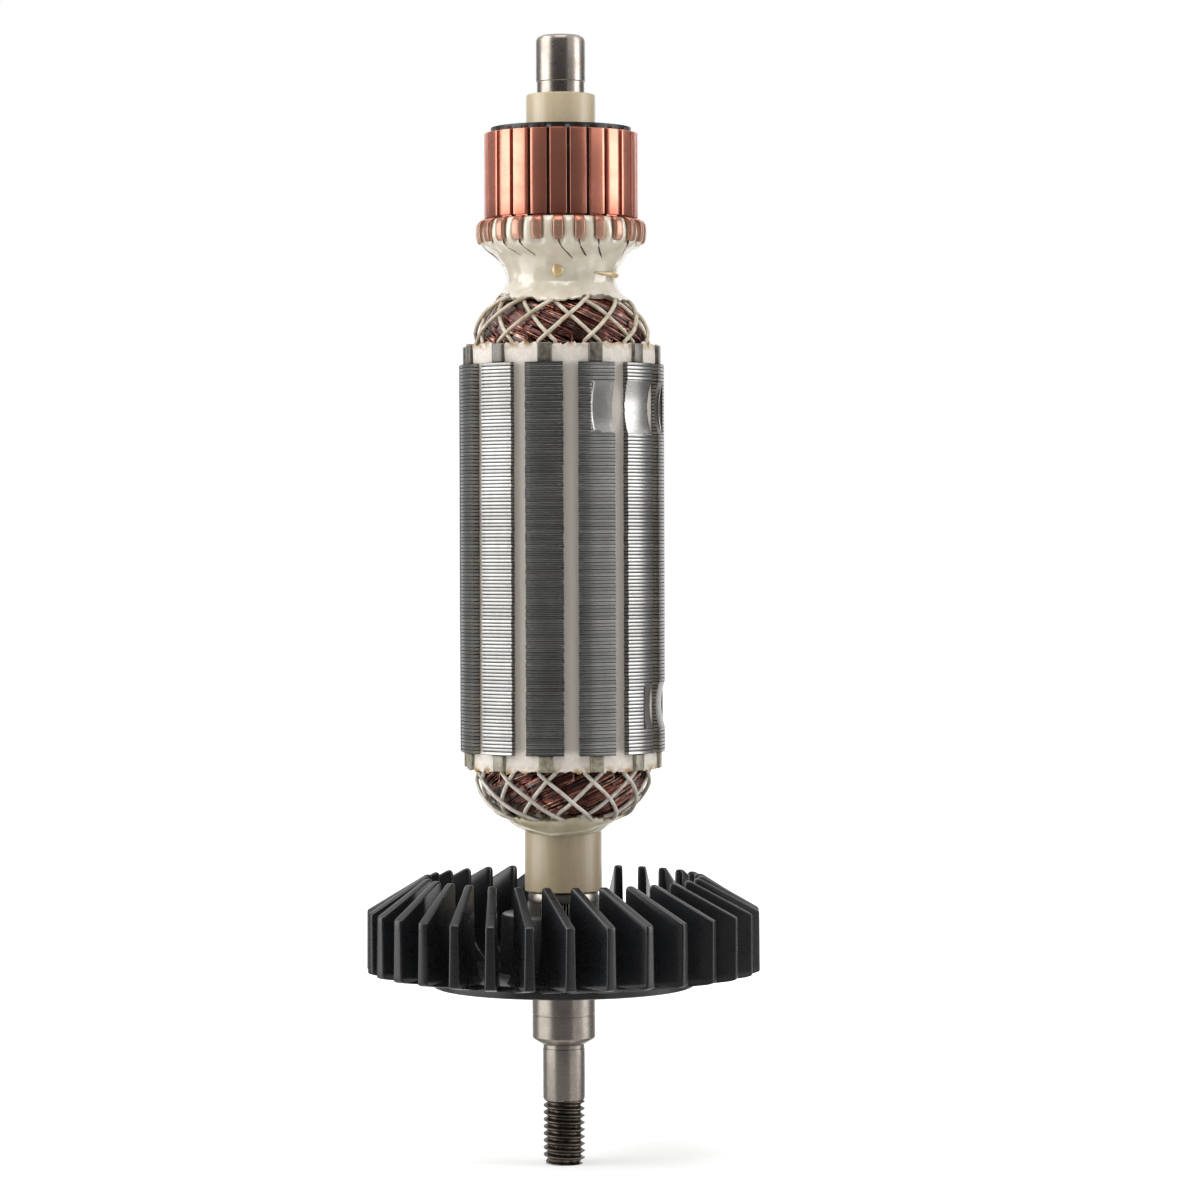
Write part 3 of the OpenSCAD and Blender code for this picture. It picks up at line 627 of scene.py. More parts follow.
def commutator_copper():
    """Turned copper: fine rings under a thin brown film, browner towards the hooks."""
    material, add, place = new_material("commutator_copper", {"Metallic": 1.0})
    height = add("ShaderNodeSeparateXYZ", {"Vector": place}, "Z")
    along = add("ShaderNodeMapping", {"Vector": place, "Scale": (0.08, 0.08, 1)})
    # turning leaves finer rings than these, which are as coarse as they need to show
    rings = add("ShaderNodeTexNoise", {"Vector": along, "Scale": 1 / (0.14 * MM), "Detail": 2})
    cloud = add("ShaderNodeTexNoise", {"Vector": place, "Scale": 1 / (3.0 * MM), "Detail": 3})
    tone = add("ShaderNodeMix", {0: rings, 6: "#cc826e", 7: "#d68e79"}, 2, data_type="RGBA")
    film = add("ShaderNodeMapRange", {"Value": cloud, "From Min": 0.4, "From Max": 0.7, "To Max": 0.3})
    tone = add("ShaderNodeMix", {0: film, 6: tone, 7: "#a35a45"}, 2, data_type="RGBA")
    low = add("ShaderNodeMapRange", {
        "Value": height, "From Min": (TRACK_Z - 0.2) * MM, "From Max": (TRACK_Z + 2.5) * MM,
        "To Min": 0.4, "To Max": 0
    })
    tone = add("ShaderNodeMix", {0: low, 6: tone, 7: "#7e4430"}, 2, data_type="RGBA")
    # the hooks lie under a thin skin of resin, scorched where they leave the track
    hook = add("ShaderNodeMapRange", {
        "Value": height, "From Min": (TRACK_Z - 0.3) * MM, "From Max": (TRACK_Z - 0.9) * MM
    })
    tone = add("ShaderNodeMix", {0: hook, 6: tone, 7: "#b58a76"}, 2, data_type="RGBA")
    burn = add("ShaderNodeTexNoise", {"Vector": place, "Scale": 1 / (0.6 * MM), "Detail": 3})
    top = add("ShaderNodeMapRange", {
        "Value": height, "From Min": (TRACK_Z - 1.6) * MM, "From Max": (TRACK_Z - 0.7) * MM
    })
    scorch = add("ShaderNodeMath", {0: top, 1: hook}, operation="MULTIPLY")
    patch = add("ShaderNodeMapRange", {
        "Value": burn, "From Min": 0.4, "From Max": 0.6, "To Min": 0.3, "To Max": 1.0
    })
    scorch = add("ShaderNodeMath", {0: scorch, 1: patch}, operation="MULTIPLY")
    tone = add("ShaderNodeMix", {0: scorch, 6: tone, 7: "#7d401c"}, 2, data_type="RGBA")
    bright = add("ShaderNodeMapRange", {"Value": hook, "To Min": 0.84, "To Max": 0.5})
    rough = add("ShaderNodeMapRange", {"Value": cloud, **NOISE_SPAN, "To Min": 0.2, "To Max": 0.27})
    raised = add("ShaderNodeBump", {"Height": rings, "Distance": 0.001 * MM, "Strength": 0.25})
    return finish_surface(material, {
        "Base Color": tone, "Metallic": bright, "Roughness": rough, "Normal": raised
    })


def fan_nylon():
    """Moulded glass-filled nylon: near black and softly glossy, with orange peel and a little dust."""
    material, add, place = new_material("fan_nylon", {})
    peel = add("ShaderNodeTexNoise", {"Vector": place, "Scale": 1 / (2.0 * MM), "Detail": 4})
    dust = add("ShaderNodeTexNoise", {"Vector": place, "Scale": 1 / (0.2 * MM), "Detail": 3})
    share = add("ShaderNodeMapRange", {"Value": peel, "From Min": 0.35, "From Max": 0.7})
    tone = add("ShaderNodeMix", {0: share, 6: "#1d1e20", 7: "#212224"}, 2, data_type="RGBA")
    fleck = add("ShaderNodeMapRange", {
        "Value": dust, "From Min": 0.72, "From Max": 0.82, "To Max": 0.2
    })
    tone = add("ShaderNodeMix", {0: fleck, 6: tone, 7: "#56565a"}, 2, data_type="RGBA")
    rough = add("ShaderNodeMapRange", {"Value": peel, **NOISE_SPAN, "To Min": 0.26, "To Max": 0.3})
    height = add("ShaderNodeBump", {"Height": peel, "Distance": 0.01 * MM, "Strength": 0.08})
    return finish_surface(material, {"Base Color": tone, "Roughness": rough, "Normal": height})


# ---- shaft and sleeve ----


def knurled_shaft(ground, knurled, thread):
    """The turned shaft, with straight serrations round the part that grips the fan."""
    teeth = 75
    knurl_top = 12.15
    profile = [
        [TAIL_SEAT_R - 0.7, TAIL_Z], [TAIL_SEAT_R - 0.2, TAIL_Z - 0.3], [TAIL_SEAT_R, TAIL_Z - 0.8],
        [TAIL_SEAT_R, 128.95], [TAIL_SEAT_R - 0.12, 128.85], [TAIL_SEAT_R - 0.12, 127.2],
        [SHAFT_R, COLLAR_Z], [SHAFT_R, 13.7], [4.4, SLEEVE_Z], [4.9, SLEEVE_Z - 0.2], [KNURL_R, 12.8],
        [KNURL_R, 12.2], [KNURL_R, 12.1], [KNURL_R, 0.1], [KNURL_R, 0], [DRIVE_SEAT_R, -0.01],
        [DRIVE_SEAT_R, -3.9], [DRIVE_SEAT_R - 0.03, -3.95], [DRIVE_SEAT_R - 0.03, -4.05],
        [DRIVE_SEAT_R, -4.1], [DRIVE_SEAT_R, -7.2], [DRIVE_SEAT_R - 0.2, -7.5],
        [SPIGOT_R - 0.06, SPIGOT_TOP_Z], [SPIGOT_R - 0.06, SPIGOT_TOP_Z - 0.5],
        [SPIGOT_R, SPIGOT_TOP_Z - 0.6], [SPIGOT_R, THREAD_TOP_Z + 0.5],
        [SPIGOT_R - 0.15, THREAD_TOP_Z + 0.2], [2.4, THREAD_TOP_Z - 0.1], [2.4, TIP_Z + 0.45],
        [2.0, TIP_Z]
    ]
    shaft = turned("turned_shaft", profile, 2 * teeth)
    # every other line of points is pressed in
    edit(shaft)
    select_vertices(shaft, lambda p: 0.05 < p.z < knurl_top and round(turn_of(p) / (180 / teeth)) % 2)
    widen(0.94, 0.94)
    leave_edit()
    smooth(shaft, 28)
    for material in (ground, knurled, thread):
        shaft.data.materials.append(material)
    for face in shaft.data.polygons:
        if 0 < face.center.z < knurl_top * MM:
            face.material_index = 1
        elif face.center.z < THREAD_TOP_Z * MM:
            face.material_index = 2
    return shaft


def thread_ridge(thread):
    """The thread's ridge: its section, screwed down the thread's length."""
    root, crest = 2.35, THREAD_R
    turns = 10
    top = THREAD_TOP_Z + 0.65
    section = [(root, 0.42), (root, -0.42), (crest, -0.07), (crest, 0.07)]
    ridge = start("thread_ridge", bpy.ops.mesh.primitive_plane_add, size=1)
    # a plane's corners go round in this order
    for corner, (r, z) in zip((0, 1, 3, 2), section):
        ridge.data.vertices[corner].co = (0, -r * MM, (top - 0.5 + z) * MM)
    add_modifier(
        ridge, "SCREW", angle=math.radians(360), screw_offset=-THREAD_PITCH * MM, iterations=turns,
        steps=72, render_steps=72, use_merge_vertices=False
    )
    apply_modifiers(ridge)
    edit(ridge, "SELECT")
    bpy.ops.mesh.remove_doubles(threshold=1e-7)
    bpy.ops.mesh.select_all(action="DESELECT")
    bpy.ops.mesh.select_non_manifold(extend=False)
    bpy.ops.mesh.fill()
    # the last turn runs out over the chamfered tip
    select_vertices(ridge, lambda p: p.z < TIP_Z + 0.7)
    widen(0.9, 0.9)
    select_vertices(ridge, lambda p: p.z < TIP_Z)
    leave_edit()
    for vertex in ridge.data.vertices:
        if vertex.select:
            vertex.co.z = TIP_Z * MM
    face_outwards(ridge)
    smooth(ridge, 30)
    ridge.data.materials.append(thread)
    return ridge


def insulating_sleeve():
    """The moulded sleeve between shaft and windings, thinner where it ends in the collar."""
    bore = SHAFT_R + 0.02
    profile = [
        [bore, SLEEVE_Z], [SLEEVE_R - 0.12, SLEEVE_Z], [SLEEVE_R, SLEEVE_Z + 0.12], [SLEEVE_R, HUB_Z],
        [COLLAR_R, HUB_Z], [COLLAR_R, COLLAR_Z - 0.25], [COLLAR_R - 0.08, COLLAR_Z - 0.08],
        [COLLAR_R - 0.25, COLLAR_Z], [bore, COLLAR_Z]
    ]
    sleeve = turned("moulded_sleeve", profile, 96, bored=True)
    smooth(sleeve)
    return sleeve


# ---- core ----


def sheet_stack():
    """Takes one sheet's outline from the solid core, gives it height and stacks it up."""
    stack = node_copy("core", "sheet_stack")
    # a height in the core's middle, away from its cuts
    low = 60.0
    edit(stack, "SELECT")
    bpy.ops.mesh.bisect(plane_co=(0, 0, low * MM), plane_no=(0, 0, 1), clear_inner=True)
    select_vertices(stack, lambda p: p.z > low + 0.01 or p.xy.length < 6.5)
    bpy.ops.mesh.delete(type="VERT")
    bpy.ops.mesh.select_all(action="SELECT")
    bpy.ops.mesh.remove_doubles(threshold=0.004 * MM)
    # the slots' bottoms are out of sight behind the paper
    select_vertices(stack, lambda p: p.xy.length < 12)
    bpy.ops.mesh.remove_doubles(threshold=0.7 * MM)
    bpy.ops.mesh.select_all(action="SELECT")
    move(0, 0, CORE_Z - low)
    # the burr side of each sheet stands back from its neighbour's face
    back = 0.996
    widen(back, back)
    for rise, size in ((0.06, 1 / back), (SHEET_T - 0.12, 1), (0.06, back)):
        extrude_ring(rise)
        widen(size, size)
    leave_edit()
    add_modifier(
        stack, "ARRAY", count=SHEETS, use_relative_offset=False, use_constant_offset=True,
        constant_offset_displace=(0, 0, SHEET_T * MM), use_merge_vertices=True,
        merge_threshold=0.002 * MM
    )
    apply_modifiers(stack)
    for end in (CORE_Z, UPPER_PLATE_Z):
        edit(stack)
        select_vertices(stack, lambda p: abs(p.z - end) < 0.01)
        bpy.ops.mesh.edge_face_add()
        leave_edit()
    # each sheet sits a hair round from its neighbours
    dice = random.Random(21)
    slip = [dice.uniform(-0.22, 0.22) for _ in range(SHEETS)]
    for vertex in stack.data.vertices:
        layer = (vertex.co.z / MM - CORE_Z) / SHEET_T
        if 0.05 < layer % 1 < 0.95:
            turn = math.radians(slip[int(layer)])
            x, y = vertex.co.xy
            vertex.co.x = x * math.cos(turn) - y * math.sin(turn)
            vertex.co.y = x * math.sin(turn) + y * math.cos(turn)
    edit(stack, "SELECT")
    bpy.ops.mesh.normals_make_consistent(inside=False)
    leave_edit()
    return stack


def balance_cut(core, material, turn, depth, z, width):
    """Takes one cut with a form cutter whose profile is a little flatter than the core."""
    cutter_r, profile_r, half = 9.5, 16, width / 2
    reach = cutter_r + CORE_R - depth
    rows = 22
    profile = []
    for i in range(rows + 1):
        across = half * (2 * i / rows - 1)
        profile.append([cutter_r + profile_r - math.sqrt(profile_r**2 - across**2), across])
    cutter = turned("form_cutter", profile, 128)
    cutter.rotation_euler = (0, math.radians(90), 0)
    settle(cutter)
    shift_piece(cutter, (0, -reach, z))
    turn_piece(cutter, turn)
    cutter.data.materials.append(material)
    add_modifier(
        core, "BOOLEAN", operation="DIFFERENCE", object=cutter, solver="EXACT", material_mode="TRANSFER"
    )
    apply_modifiers(core)
    bpy.data.objects.remove(cutter)


def end_plate(node, name):
    """A toothed end plate whose pressed edges are broken."""
    plate = node_copy(node, name)
    bevel_sharp(plate, 0.15)
    smooth(plate, 40)
    return plate


def torn_liners():
    """Cuts one liner finely across its mouth side, copies it into each slot and tears its ends."""
    first = node_copy("slot_liner_01", "paper_liner_01")
    turn = CORE_TURN + SLOT_PITCH / 2
    turn_piece(first, -turn)
    edit(first, "SELECT")
    # the mouth side is twice half wide, and lies beyond mouth_y
    columns, half, mouth_y = 22, 2.4, -12.5
    for i in range(1, columns):
        slice_at((half * (2 * i / columns - 1), 0, 0), (1, 0, 0))
    tear_h, curl_h = 0.8, 2.6
    for inset in (0.35, tear_h, 1.6, curl_h):
        for height in (LOWER_PLATE_Z + inset, UPPER_FACE_Z - inset):
            slice_at((0, 0, height), (0, 0, 1))
    leave_edit()
    liners = []
    dice = random.Random(7)
    for i in range(SLOTS):
        liner = own_copy(first, f"paper_liner_{i + 1:02d}")
        for end, way in ((LOWER_PLATE_Z, -1), (UPPER_FACE_Z, 1)):
            seed = dice.uniform(0, 50)
            curl = dice.uniform(0.0, 0.22)
            tear = {}
            for vertex in liner.data.vertices:
                x, y, z = vertex.co / MM
                inset = (end - z) * way
                if inset > curl_h + 0.1:
                    continue
                key = round(x, 2)
                if key not in tear:
                    wave = noise.noise((x * 0.9, seed, 0)) * 0.8 + noise.noise((x * 4.5, seed, 5)) * 0.6
                    tear[key] = wave
                z += way * (tear[key] * 0.62 + 0.05) * max(0, 1 - inset / tear_h)
                # only the mouth side, which shows, curls and buckles
                if y < mouth_y:
                    share = max(0, 1 - inset / curl_h)
                    y += (noise.noise((x * 1.2, seed, z)) * 0.12 - curl) * share
                vertex.co = Vector((x, y, z)) * MM
        turn_piece(liner, turn + i * SLOT_PITCH)
        smooth(liner, 40)
        liners.append(liner)
    bpy.data.objects.remove(first)
    return liners


# ---- coil ends ----

# sizes of the bundles and cords in millimetres, as in part.scad
COIL_T = 1.68
COIL_W = 2.154
LACE_R = 0.29
LACE_D = 2 * LACE_R
WINDING_STEP = 5
HEAD_H = 7.6 - COIL_T / 2 - 1.3 * LACE_D - LACE_R - 0.1
NOSE_R = SLEEVE_R + COIL_T / 2 + 0.86
OUTER_LAYER_R = 9.686 - 0.2 + COIL_T + 0.1
INNER_LAYER_R = 9.486
# middle line of a bundle over an end plate: (radius, height)
CLIMB = [
    (OUTER_LAYER_R, 0), (OUTER_LAYER_R - 0.7, 0.47 * HEAD_H), (NOSE_R + 2.5, 0.91 * HEAD_H),
    (NOSE_R, HEAD_H)
]
FALL = [(NOSE_R, HEAD_H), (NOSE_R - 1.29, HEAD_H), (NOSE_R - 1.03, 0.3 * HEAD_H), (INNER_LAYER_R, 0)]
STRAND_R = 0.085
# closer to the axis than this, the bundles can't lie side by side
SPACING_R = SLOTS * (COIL_W + 0.35) / (2 * math.pi)


def bezier(points, t):
    shares = ((1 - t) ** 3, 3 * t * (1 - t) ** 2, 3 * t * t * (1 - t), t**3)
    return tuple(sum(s * p[k] for s, p in zip(shares, points)) for k in (0, 1))


def head_line():
    """The bundle's line, with the turn of each of its points, to the slot that it falls into."""
    steps = 12
    line = [bezier(CLIMB, i / steps) for i in range(steps + 1)]
    line += [bezier(FALL, i / steps) for i in range(1, steps + 1)]
    shares = [0]
    for (r0, h0), (r1, h1) in zip(line, line[1:]):
        r = (r0 + r1) / 2
        step = math.hypot(r1 - r0, h1 - h0)
        shares.append(shares[-1] + step * math.sqrt(r * r - SPACING_R**2) / r)
    sweep = WINDING_STEP * SLOT_PITCH
    return [(r, h, -sweep * s / shares[-1]) for (r, h), s in zip(line, shares)]


def tucked_in(point, z):
    """The start of a line, a little further in than its first point."""
    return (point[0] * 0.985, point[1] * 0.985, z)


def coil_strands(number, up):
    """The wires that show on one coil's bundle, each laid a little differently."""
    dice = random.Random(100 * number + (7 if up > 0 else 3))
    line = head_line()
    face = UPPER_FACE_Z if up > 0 else LOWER_PLATE_Z
    slot_turn = CORE_TURN + (number - 0.5) * SLOT_PITCH
    lines = []
    count = 29
    # the strands go this far round the bundle to both sides
    half_round = 112
    # past this point of the line the next coils cover the bundle
    last = 19
    for k in range(count):
        round_turn = half_round * (2 * k / (count - 1) - 1) + dice.uniform(-3.5, 3.5)
        across = math.sin(math.radians(round_turn))
        out = math.cos(math.radians(round_turn))
        shift_seed = dice.uniform(0, 60)
        lift = dice.uniform(-0.1, 0.05) + (0.25 if dice.random() < 0.18 else 0)
        fan_out = dice.uniform(-0.7, 0.7)
        points = []
        for i in range(last):
            r, h, turn = line[i]
            r0, h0, t0 = line[max(i - 1, 0)]
            r1, h1, t1 = line[min(i + 1, len(line) - 1)]
            length = math.hypot(r1 - r0, h1 - h0)
            normal = ((h1 - h0) / length, -(r1 - r0) / length)
            wobble = noise.noise((i * 0.13, shift_seed, 0)) * 0.22
            rise = COIL_T / 2 * out + lift + noise.noise((i * 0.15, shift_seed, 9)) * 0.12
            # across the bundle, the step is part turn and part climb
            way = Vector((r1 - r0, (h1 - h0), r * math.radians(t1 - t0)))
            way.normalize()
            side = COIL_W / 2 * across + wobble + fan_out * max(0, 1 - i / 5)
            flat = math.hypot(way.x, way.y)
            dr = normal[0] * rise - side * way.z * (r1 - r0) / length
            dh = normal[1] * rise - side * way.z * (h1 - h0) / length
            dturn = math.degrees(side * flat / max(r, 1))
            points.append(at(r + dr, slot_turn + turn + dturn, face + up * (h + dh)))
        lines.append([tucked_in(points[0], face - up * 1.2)] + points)
    end = "upper" if up > 0 else "lower"
    return wires(f"coil_wires_{end}_{number:02d}", lines, STRAND_R, 8)


def laced_cords(up):
    """Cords laid both ways over one set of coil ends."""
    dice = random.Random(40 + up)
    face = UPPER_FACE_Z if up > 0 else LOWER_PLATE_Z
    steps, covered = 16, 0.97
    lines = []
    for i in range(SLOTS):
        # the cords of one way lie on top of those of the other way
        for way, high in ((1, True), (-1, False)):
            begin = CORE_TURN + i * SLOT_PITCH - way * 5 + dice.uniform(-1.2, 1.2)
            sweep = (48 if high else 38) + dice.uniform(-3, 3)
            slack = dice.uniform(0, 50)
            flat = []
            for k in range(steps + 1):
                t = covered * k / steps
                r, h = bezier(CLIMB, t)
                r0, h0 = bezier(CLIMB, max(t - 0.02, 0))
                r1, h1 = bezier(CLIMB, min(t + 0.02, 1))
                length = math.hypot(r1 - r0, h1 - h0)
                full = 1.3 if high else 0.5
                lift = LACE_D * (0.5 + (full - 0.5) * min(1, k / 3))
                rise = COIL_T / 2 + 0.02 + lift + noise.noise((k * 0.25, slack, 1)) * 0.08
                flat.append((r + (h1 - h0) / length * rise, h - (r1 - r0) / length * rise))
            far = [0]
            for (r0, h0), (r1, h1) in zip(flat, flat[1:]):
                far.append(far[-1] + math.hypot(r1 - r0, h1 - h0))
            points = []
            for (r, h), s in zip(flat, far):
                turn = begin + way * sweep * s / far[-1] + noise.noise((s * 0.35, slack, 3)) * 1.1
                points.append(at(r, turn, face + up * h))
            lines.append([tucked_in(points[0], face - up * 0.7)] + points)
    return wires("cords_upper" if up > 0 else "cords_lower", lines, LACE_R, 10)


# ---- resin ----


def lumpy(piece, size, amount, seed):
    """Moves a cured resin surface in and out a little, as its runs do."""
    for vertex in piece.data.vertices:
        p = vertex.co / MM
        push = noise.noise(Vector((p.x, p.y, p.z * 0.6)) / size + Vector((seed, 0, 0))) * amount
        flat = Vector((p.x, p.y, 0)).normalized()
        vertex.co = (p + flat * push) * MM


def run_out(piece, r, z, way, seed):
    """Draws the thin edge of a resin skirt back by a different amount all round."""
    for vertex in piece.data.vertices:
        p = vertex.co / MM
        away = p.xy.length - r
        if away <= 0 or (p.z - z) * way <= 0:
            continue
        turn = math.atan2(p.x, -p.y)
        wave = 0
        for size, share in ((1.4, 1), (5, 0.4), (13, 0.35)):
            wave += noise.noise((math.cos(turn) * size, math.sin(turn) * size, seed)) * share
        keep = min(1, max(0.1, 0.45 + 0.5 * wave))
        flat = p.xy.normalized() * (r + away * keep)
        vertex.co = Vector((flat.x, flat.y, z + (p.z - z) * keep)) * MM


def neck_resin():
    """The resin neck between the coil ends and the hooks, with a lobe between every two hooks."""
    bore = SLEEVE_R + 0.02
    profile = [
        [bore, NECK_Z - 1.2], [8.2, NECK_Z - 1.2], [9.2, NECK_Z - 1.3], [9.7, NECK_Z - 1.65],
        [10.3, NECK_Z - 2.1], [10.5, NECK_Z - 1.8], [10.1, NECK_Z - 1.25], [9.7, NECK_Z - 0.8],
        [9.2, NECK_Z - 0.35], [8.8, NECK_Z], [8.4, NECK_Z + 0.5], [8.1, NECK_Z + 1.0],
        [7.9, NECK_Z + 1.4], [7.86, NECK_Z + 2.0], [7.95, NECK_Z + 2.6], [8.2, NECK_Z + 3.3],
        [8.55, NECK_Z + 3.9], [8.95, NECK_Z + 4.5], [9.4, NECK_Z + 5.1], [9.95, NECK_Z + 5.6],
        [10.6, NECK_Z + 6.1], [11.2, NECK_Z + 6.6], [11.55, HOOK_Z + 0.3], [11.72, HOOK_Z + 0.8],
        [11.76, HOOK_Z + 1.4], [11.7, HOOK_Z + 2.0], [11.55, HOOK_Z + 2.6], [11.3, HOOK_Z + 3.1],
        [10.9, HOOK_Z + 3.4], [10.5, HOOK_Z + 3.5], [10.2, HOOK_Z + 3.5], [8.6, HOOK_Z + 3.4],
        [8.6, HUB_Z], [bore, HUB_Z]
    ]
    neck = turned("resin_neck", profile, 240, bored=True)
    # hooks press into the resin, which stands up between them
    bed_r = 10.95
    foot_z = HOOK_Z - 0.9
    for vertex in neck.data.vertices:
        p = vertex.co / MM
        if p.z < foot_z or p.xy.length < 10.3:
            continue
        off = (turn_of(p) - BAR_TURN + BAR_PITCH / 2) % BAR_PITCH - BAR_PITCH / 2
        near_hook = 1 - min(1, max(0, (abs(off) - 3.3) / 1.6))
        deep = min(1, max(0, (p.z - foot_z) / 0.9))
        r = p.xy.length
        target = r - (r - bed_r) * near_hook * deep if r > bed_r else r
        vertex.co = Vector((p.x * target / r, p.y * target / r, p.z)) * MM
    run_out(neck, 8.5, NECK_Z + 0.1, -1, 4)
    lumpy(neck, 2.6, 0.16, 3)
    lumpy(neck, 0.9, 0.05, 8)
    smooth(neck, 50)
    return neck


def resin_drips():
    """A yellow nub and a sliver of set resin on the neck."""
    ball = bpy.ops.mesh.primitive_uv_sphere_add
    nub = start("resin_nub", ball, segments=24, ring_count=14, radius=0.85 * MM)
    nub.scale = (1.0, 0.75, 1.05)
    shift_piece(nub, at(7.95, -3, 101.6))
    edit(nub)
    select_vertices(nub, lambda p: p.z > 102.0)
    move(-0.15, -0.05, 0.1)
    leave_edit()
    line = []
    for k in range(13):
        place = at(8.05 + 0.035 * k, 36 + 2.6 * k, 101.35 - 0.02 * k + 0.05 * math.sin(k))
        line.append(place + (0.25 + 0.75 * min(1, k / 8),))
    sliver = wires("resin_sliver", [line], 0.36, 12)
    drips = joined([nub, sliver], "resin_drips")
    lumpy(drips, 0.7, 0.08, 5)
    smooth(drips, 60)
    return drips


def lower_cap():
    """Resin that ran down to the sleeve over the last cord, lower at the front than at the back."""
    bore = SLEEVE_R + 0.02
    profile = [
        [bore, CAP_Z - 0.1], [5.8, CAP_Z - 0.08], [6.1, CAP_Z + 0.1], [6.6, CAP_Z + 0.5],
        [7.2, CAP_Z + 1.0], [7.8, CAP_Z + 1.5], [8.3, CAP_Z + 1.95], [8.65, CAP_Z + 2.4],
        [8.9, CAP_Z + 2.85], [9.05, CAP_Z + 3.3], [8.85, CAP_Z + 3.35], [8.6, CAP_Z + 3.0],
        [8.2, CAP_Z + 2.7], [7.4, CAP_Z + 2.4], [bore, CAP_Z + 2.4]
    ]
    cap = turned("resin_cap", profile, 180, bored=True)
    run_out(cap, 7.5, CAP_Z + 1.25, 1, 11)
    # the binding lies low at the front and climbs to both sides
    binding = []
    for k in range(75):
        turn = k * 5 - 3
        climb = min(1, 1 - math.cos(math.radians(turn + 12)))
        r = 6.35 + 2.3 * climb + 0.05 * math.sin(k * 0.9)
        z = CAP_Z + 0.3 + 2.05 * climb + 0.1 * math.sin(k * 0.7)
        binding.append(at(r, turn, z))
    cap = joined([cap, wires("resin_binding", [binding], 0.27, 12)], "resin_cap")
    for vertex in cap.data.vertices:
        p = vertex.co / MM
        turn = math.atan2(p.x, -p.y)
        share = 1 - 0.6 * min(1, max(0, (p.xy.length - 6.5) / 3))
        p.z += share * (0.7 - 0.8 * math.cos(turn))
        vertex.co = p * MM
    lumpy(cap, 1.8, 0.16, 12)
    lumpy(cap, 0.6, 0.04, 2)
    smooth(cap, 50)
    return cap


def lead_wires():
    """Wire ends half sunk in the neck, each going up to its hook."""
    dice = random.Random(12)
    # radius, height and turn from the hook
    way = [
        (8.0, NECK_Z + 0.6, 39), (7.86, NECK_Z + 1.6, 33), (7.9, NECK_Z + 2.5, 27),
        (8.2, NECK_Z + 3.4, 20.5), (8.75, NECK_Z + 4.3, 14), (9.5, NECK_Z + 5.2, 7.5),
        (10.4, NECK_Z + 6.0, 2.5), (11.1, NECK_Z + 6.7, 0.3), (11.3, HOOK_Z + 0.6, 0)
    ]
    lines = []
    for i in range(BARS):
        base = BAR_TURN + i * BAR_PITCH
        shift = dice.uniform(-1.5, 1.5)
        sunk = dice.choice((-0.35, -0.2, -0.02, 0.03)) + dice.uniform(-0.03, 0.03)
        points = []
        for k, (r, z, turn) in enumerate(way):
            points.append(at(r - 0.36 + 0.045 * k + sunk, base + turn + shift * max(0, 1 - k / 6), z))
        lines.append(points)
    lead_r = 0.15
    return wires("hook_wires", lines, lead_r, 8)


# ---- commutator ----


def bar_wedge():
    """The brush track's part of a bar: a wedge whose outer face is crowned to the track's circle."""
    inner_r = TRACK_R - BAR_DEPTH
    bar = start("copper_bar", bpy.ops.mesh.primitive_cube_add, size=1)
    bar.scale = Vector((1, BAR_DEPTH, BAR_TOP_Z - TRACK_Z)) * MM
    shift_piece(bar, (0, -(TRACK_R + inner_r) / 2, (BAR_TOP_Z + TRACK_Z) / 2))
    edit(bar)
    for r in (inner_r, TRACK_R):
        select_vertices(bar, lambda p: abs(-p.y - r) < 0.01)
        widen(2 * r * math.tan(math.radians(BAR_PITCH / 2)) - BAR_GAP, 1)
    for x in (-0.72, -0.36, 0, 0.36, 0.72):
        slice_at((x, 0, 0), (1, 0, 0))
    leave_edit()
    for vertex in bar.data.vertices:
        p = vertex.co / MM
        if -p.y > TRACK_R - 0.1:
            vertex.co.y = -math.sqrt(TRACK_R**2 - p.x**2) * MM
    bevel_sharp(bar, 0.1, 2, 50)
    return bar


def bar_foot():
    """The block that carries the hook under the track."""
    foot = start("bar_foot", bpy.ops.mesh.primitive_cube_add, size=1)
    foot.scale = Vector((1.9, 2.6, 3.6)) * MM
    shift_piece(foot, (0, -(FOOT_R - 1.3), TRACK_Z - 1.7))
    return foot


def bar_hook():
    """A hook, drawn out of its bar and bent down over the wire."""
    facing = (math.radians(90), 0, 0)
    hook = start("bar_hook", bpy.ops.mesh.primitive_plane_add, size=1, rotation=facing)
    hook.scale = (HOOK_W * MM, HOOK_T * MM, 1)
    y, below, lean = -10.2, -0.55, 0
    shift_piece(hook, (0, y, TRACK_Z + below))
    edit(hook, "SELECT")
    # each step is a place and the lean of the hook's section there
    path = [
        (-10.75, -0.55, 0), (-11.15, -0.6, 18), (-11.47, -0.78, 42), (-11.67, -1.08, 66),
        (-11.74, -1.5, 84), (-11.75, -2.1, 90), (-11.7, -2.7, 96), (-11.58, -3.2, 106),
        (-11.42, -3.55, 114)
    ]
    for next_y, next_below, next_lean in path:
        extrude(next_y - y, next_below - below)
        centre = Vector((0, next_y, TRACK_Z + next_below)) * MM
        bend = Matrix.Rotation(math.radians(next_lean - lean), 3, "X")
        leave_edit()
        for vertex in hook.data.vertices:
            if vertex.select:
                vertex.co = centre + bend @ (vertex.co - centre)
        bpy.ops.object.mode_set(mode="EDIT")
        y, below, lean = next_y, next_below, next_lean
    # the tip is a little narrower
    widen(0.72, 1)
    leave_edit()
    face_outwards(hook)
    bevel_sharp(hook, 0.22, 3, 50)
    return hook


def commutator_bar():
    """One copper bar with its hook, made at the front."""
    whole = joined([bar_wedge(), bar_foot(), bar_hook()], "copper_bar")
    face_outwards(whole)
    smooth(whole, 40)
    return whole


# ---- fan ----


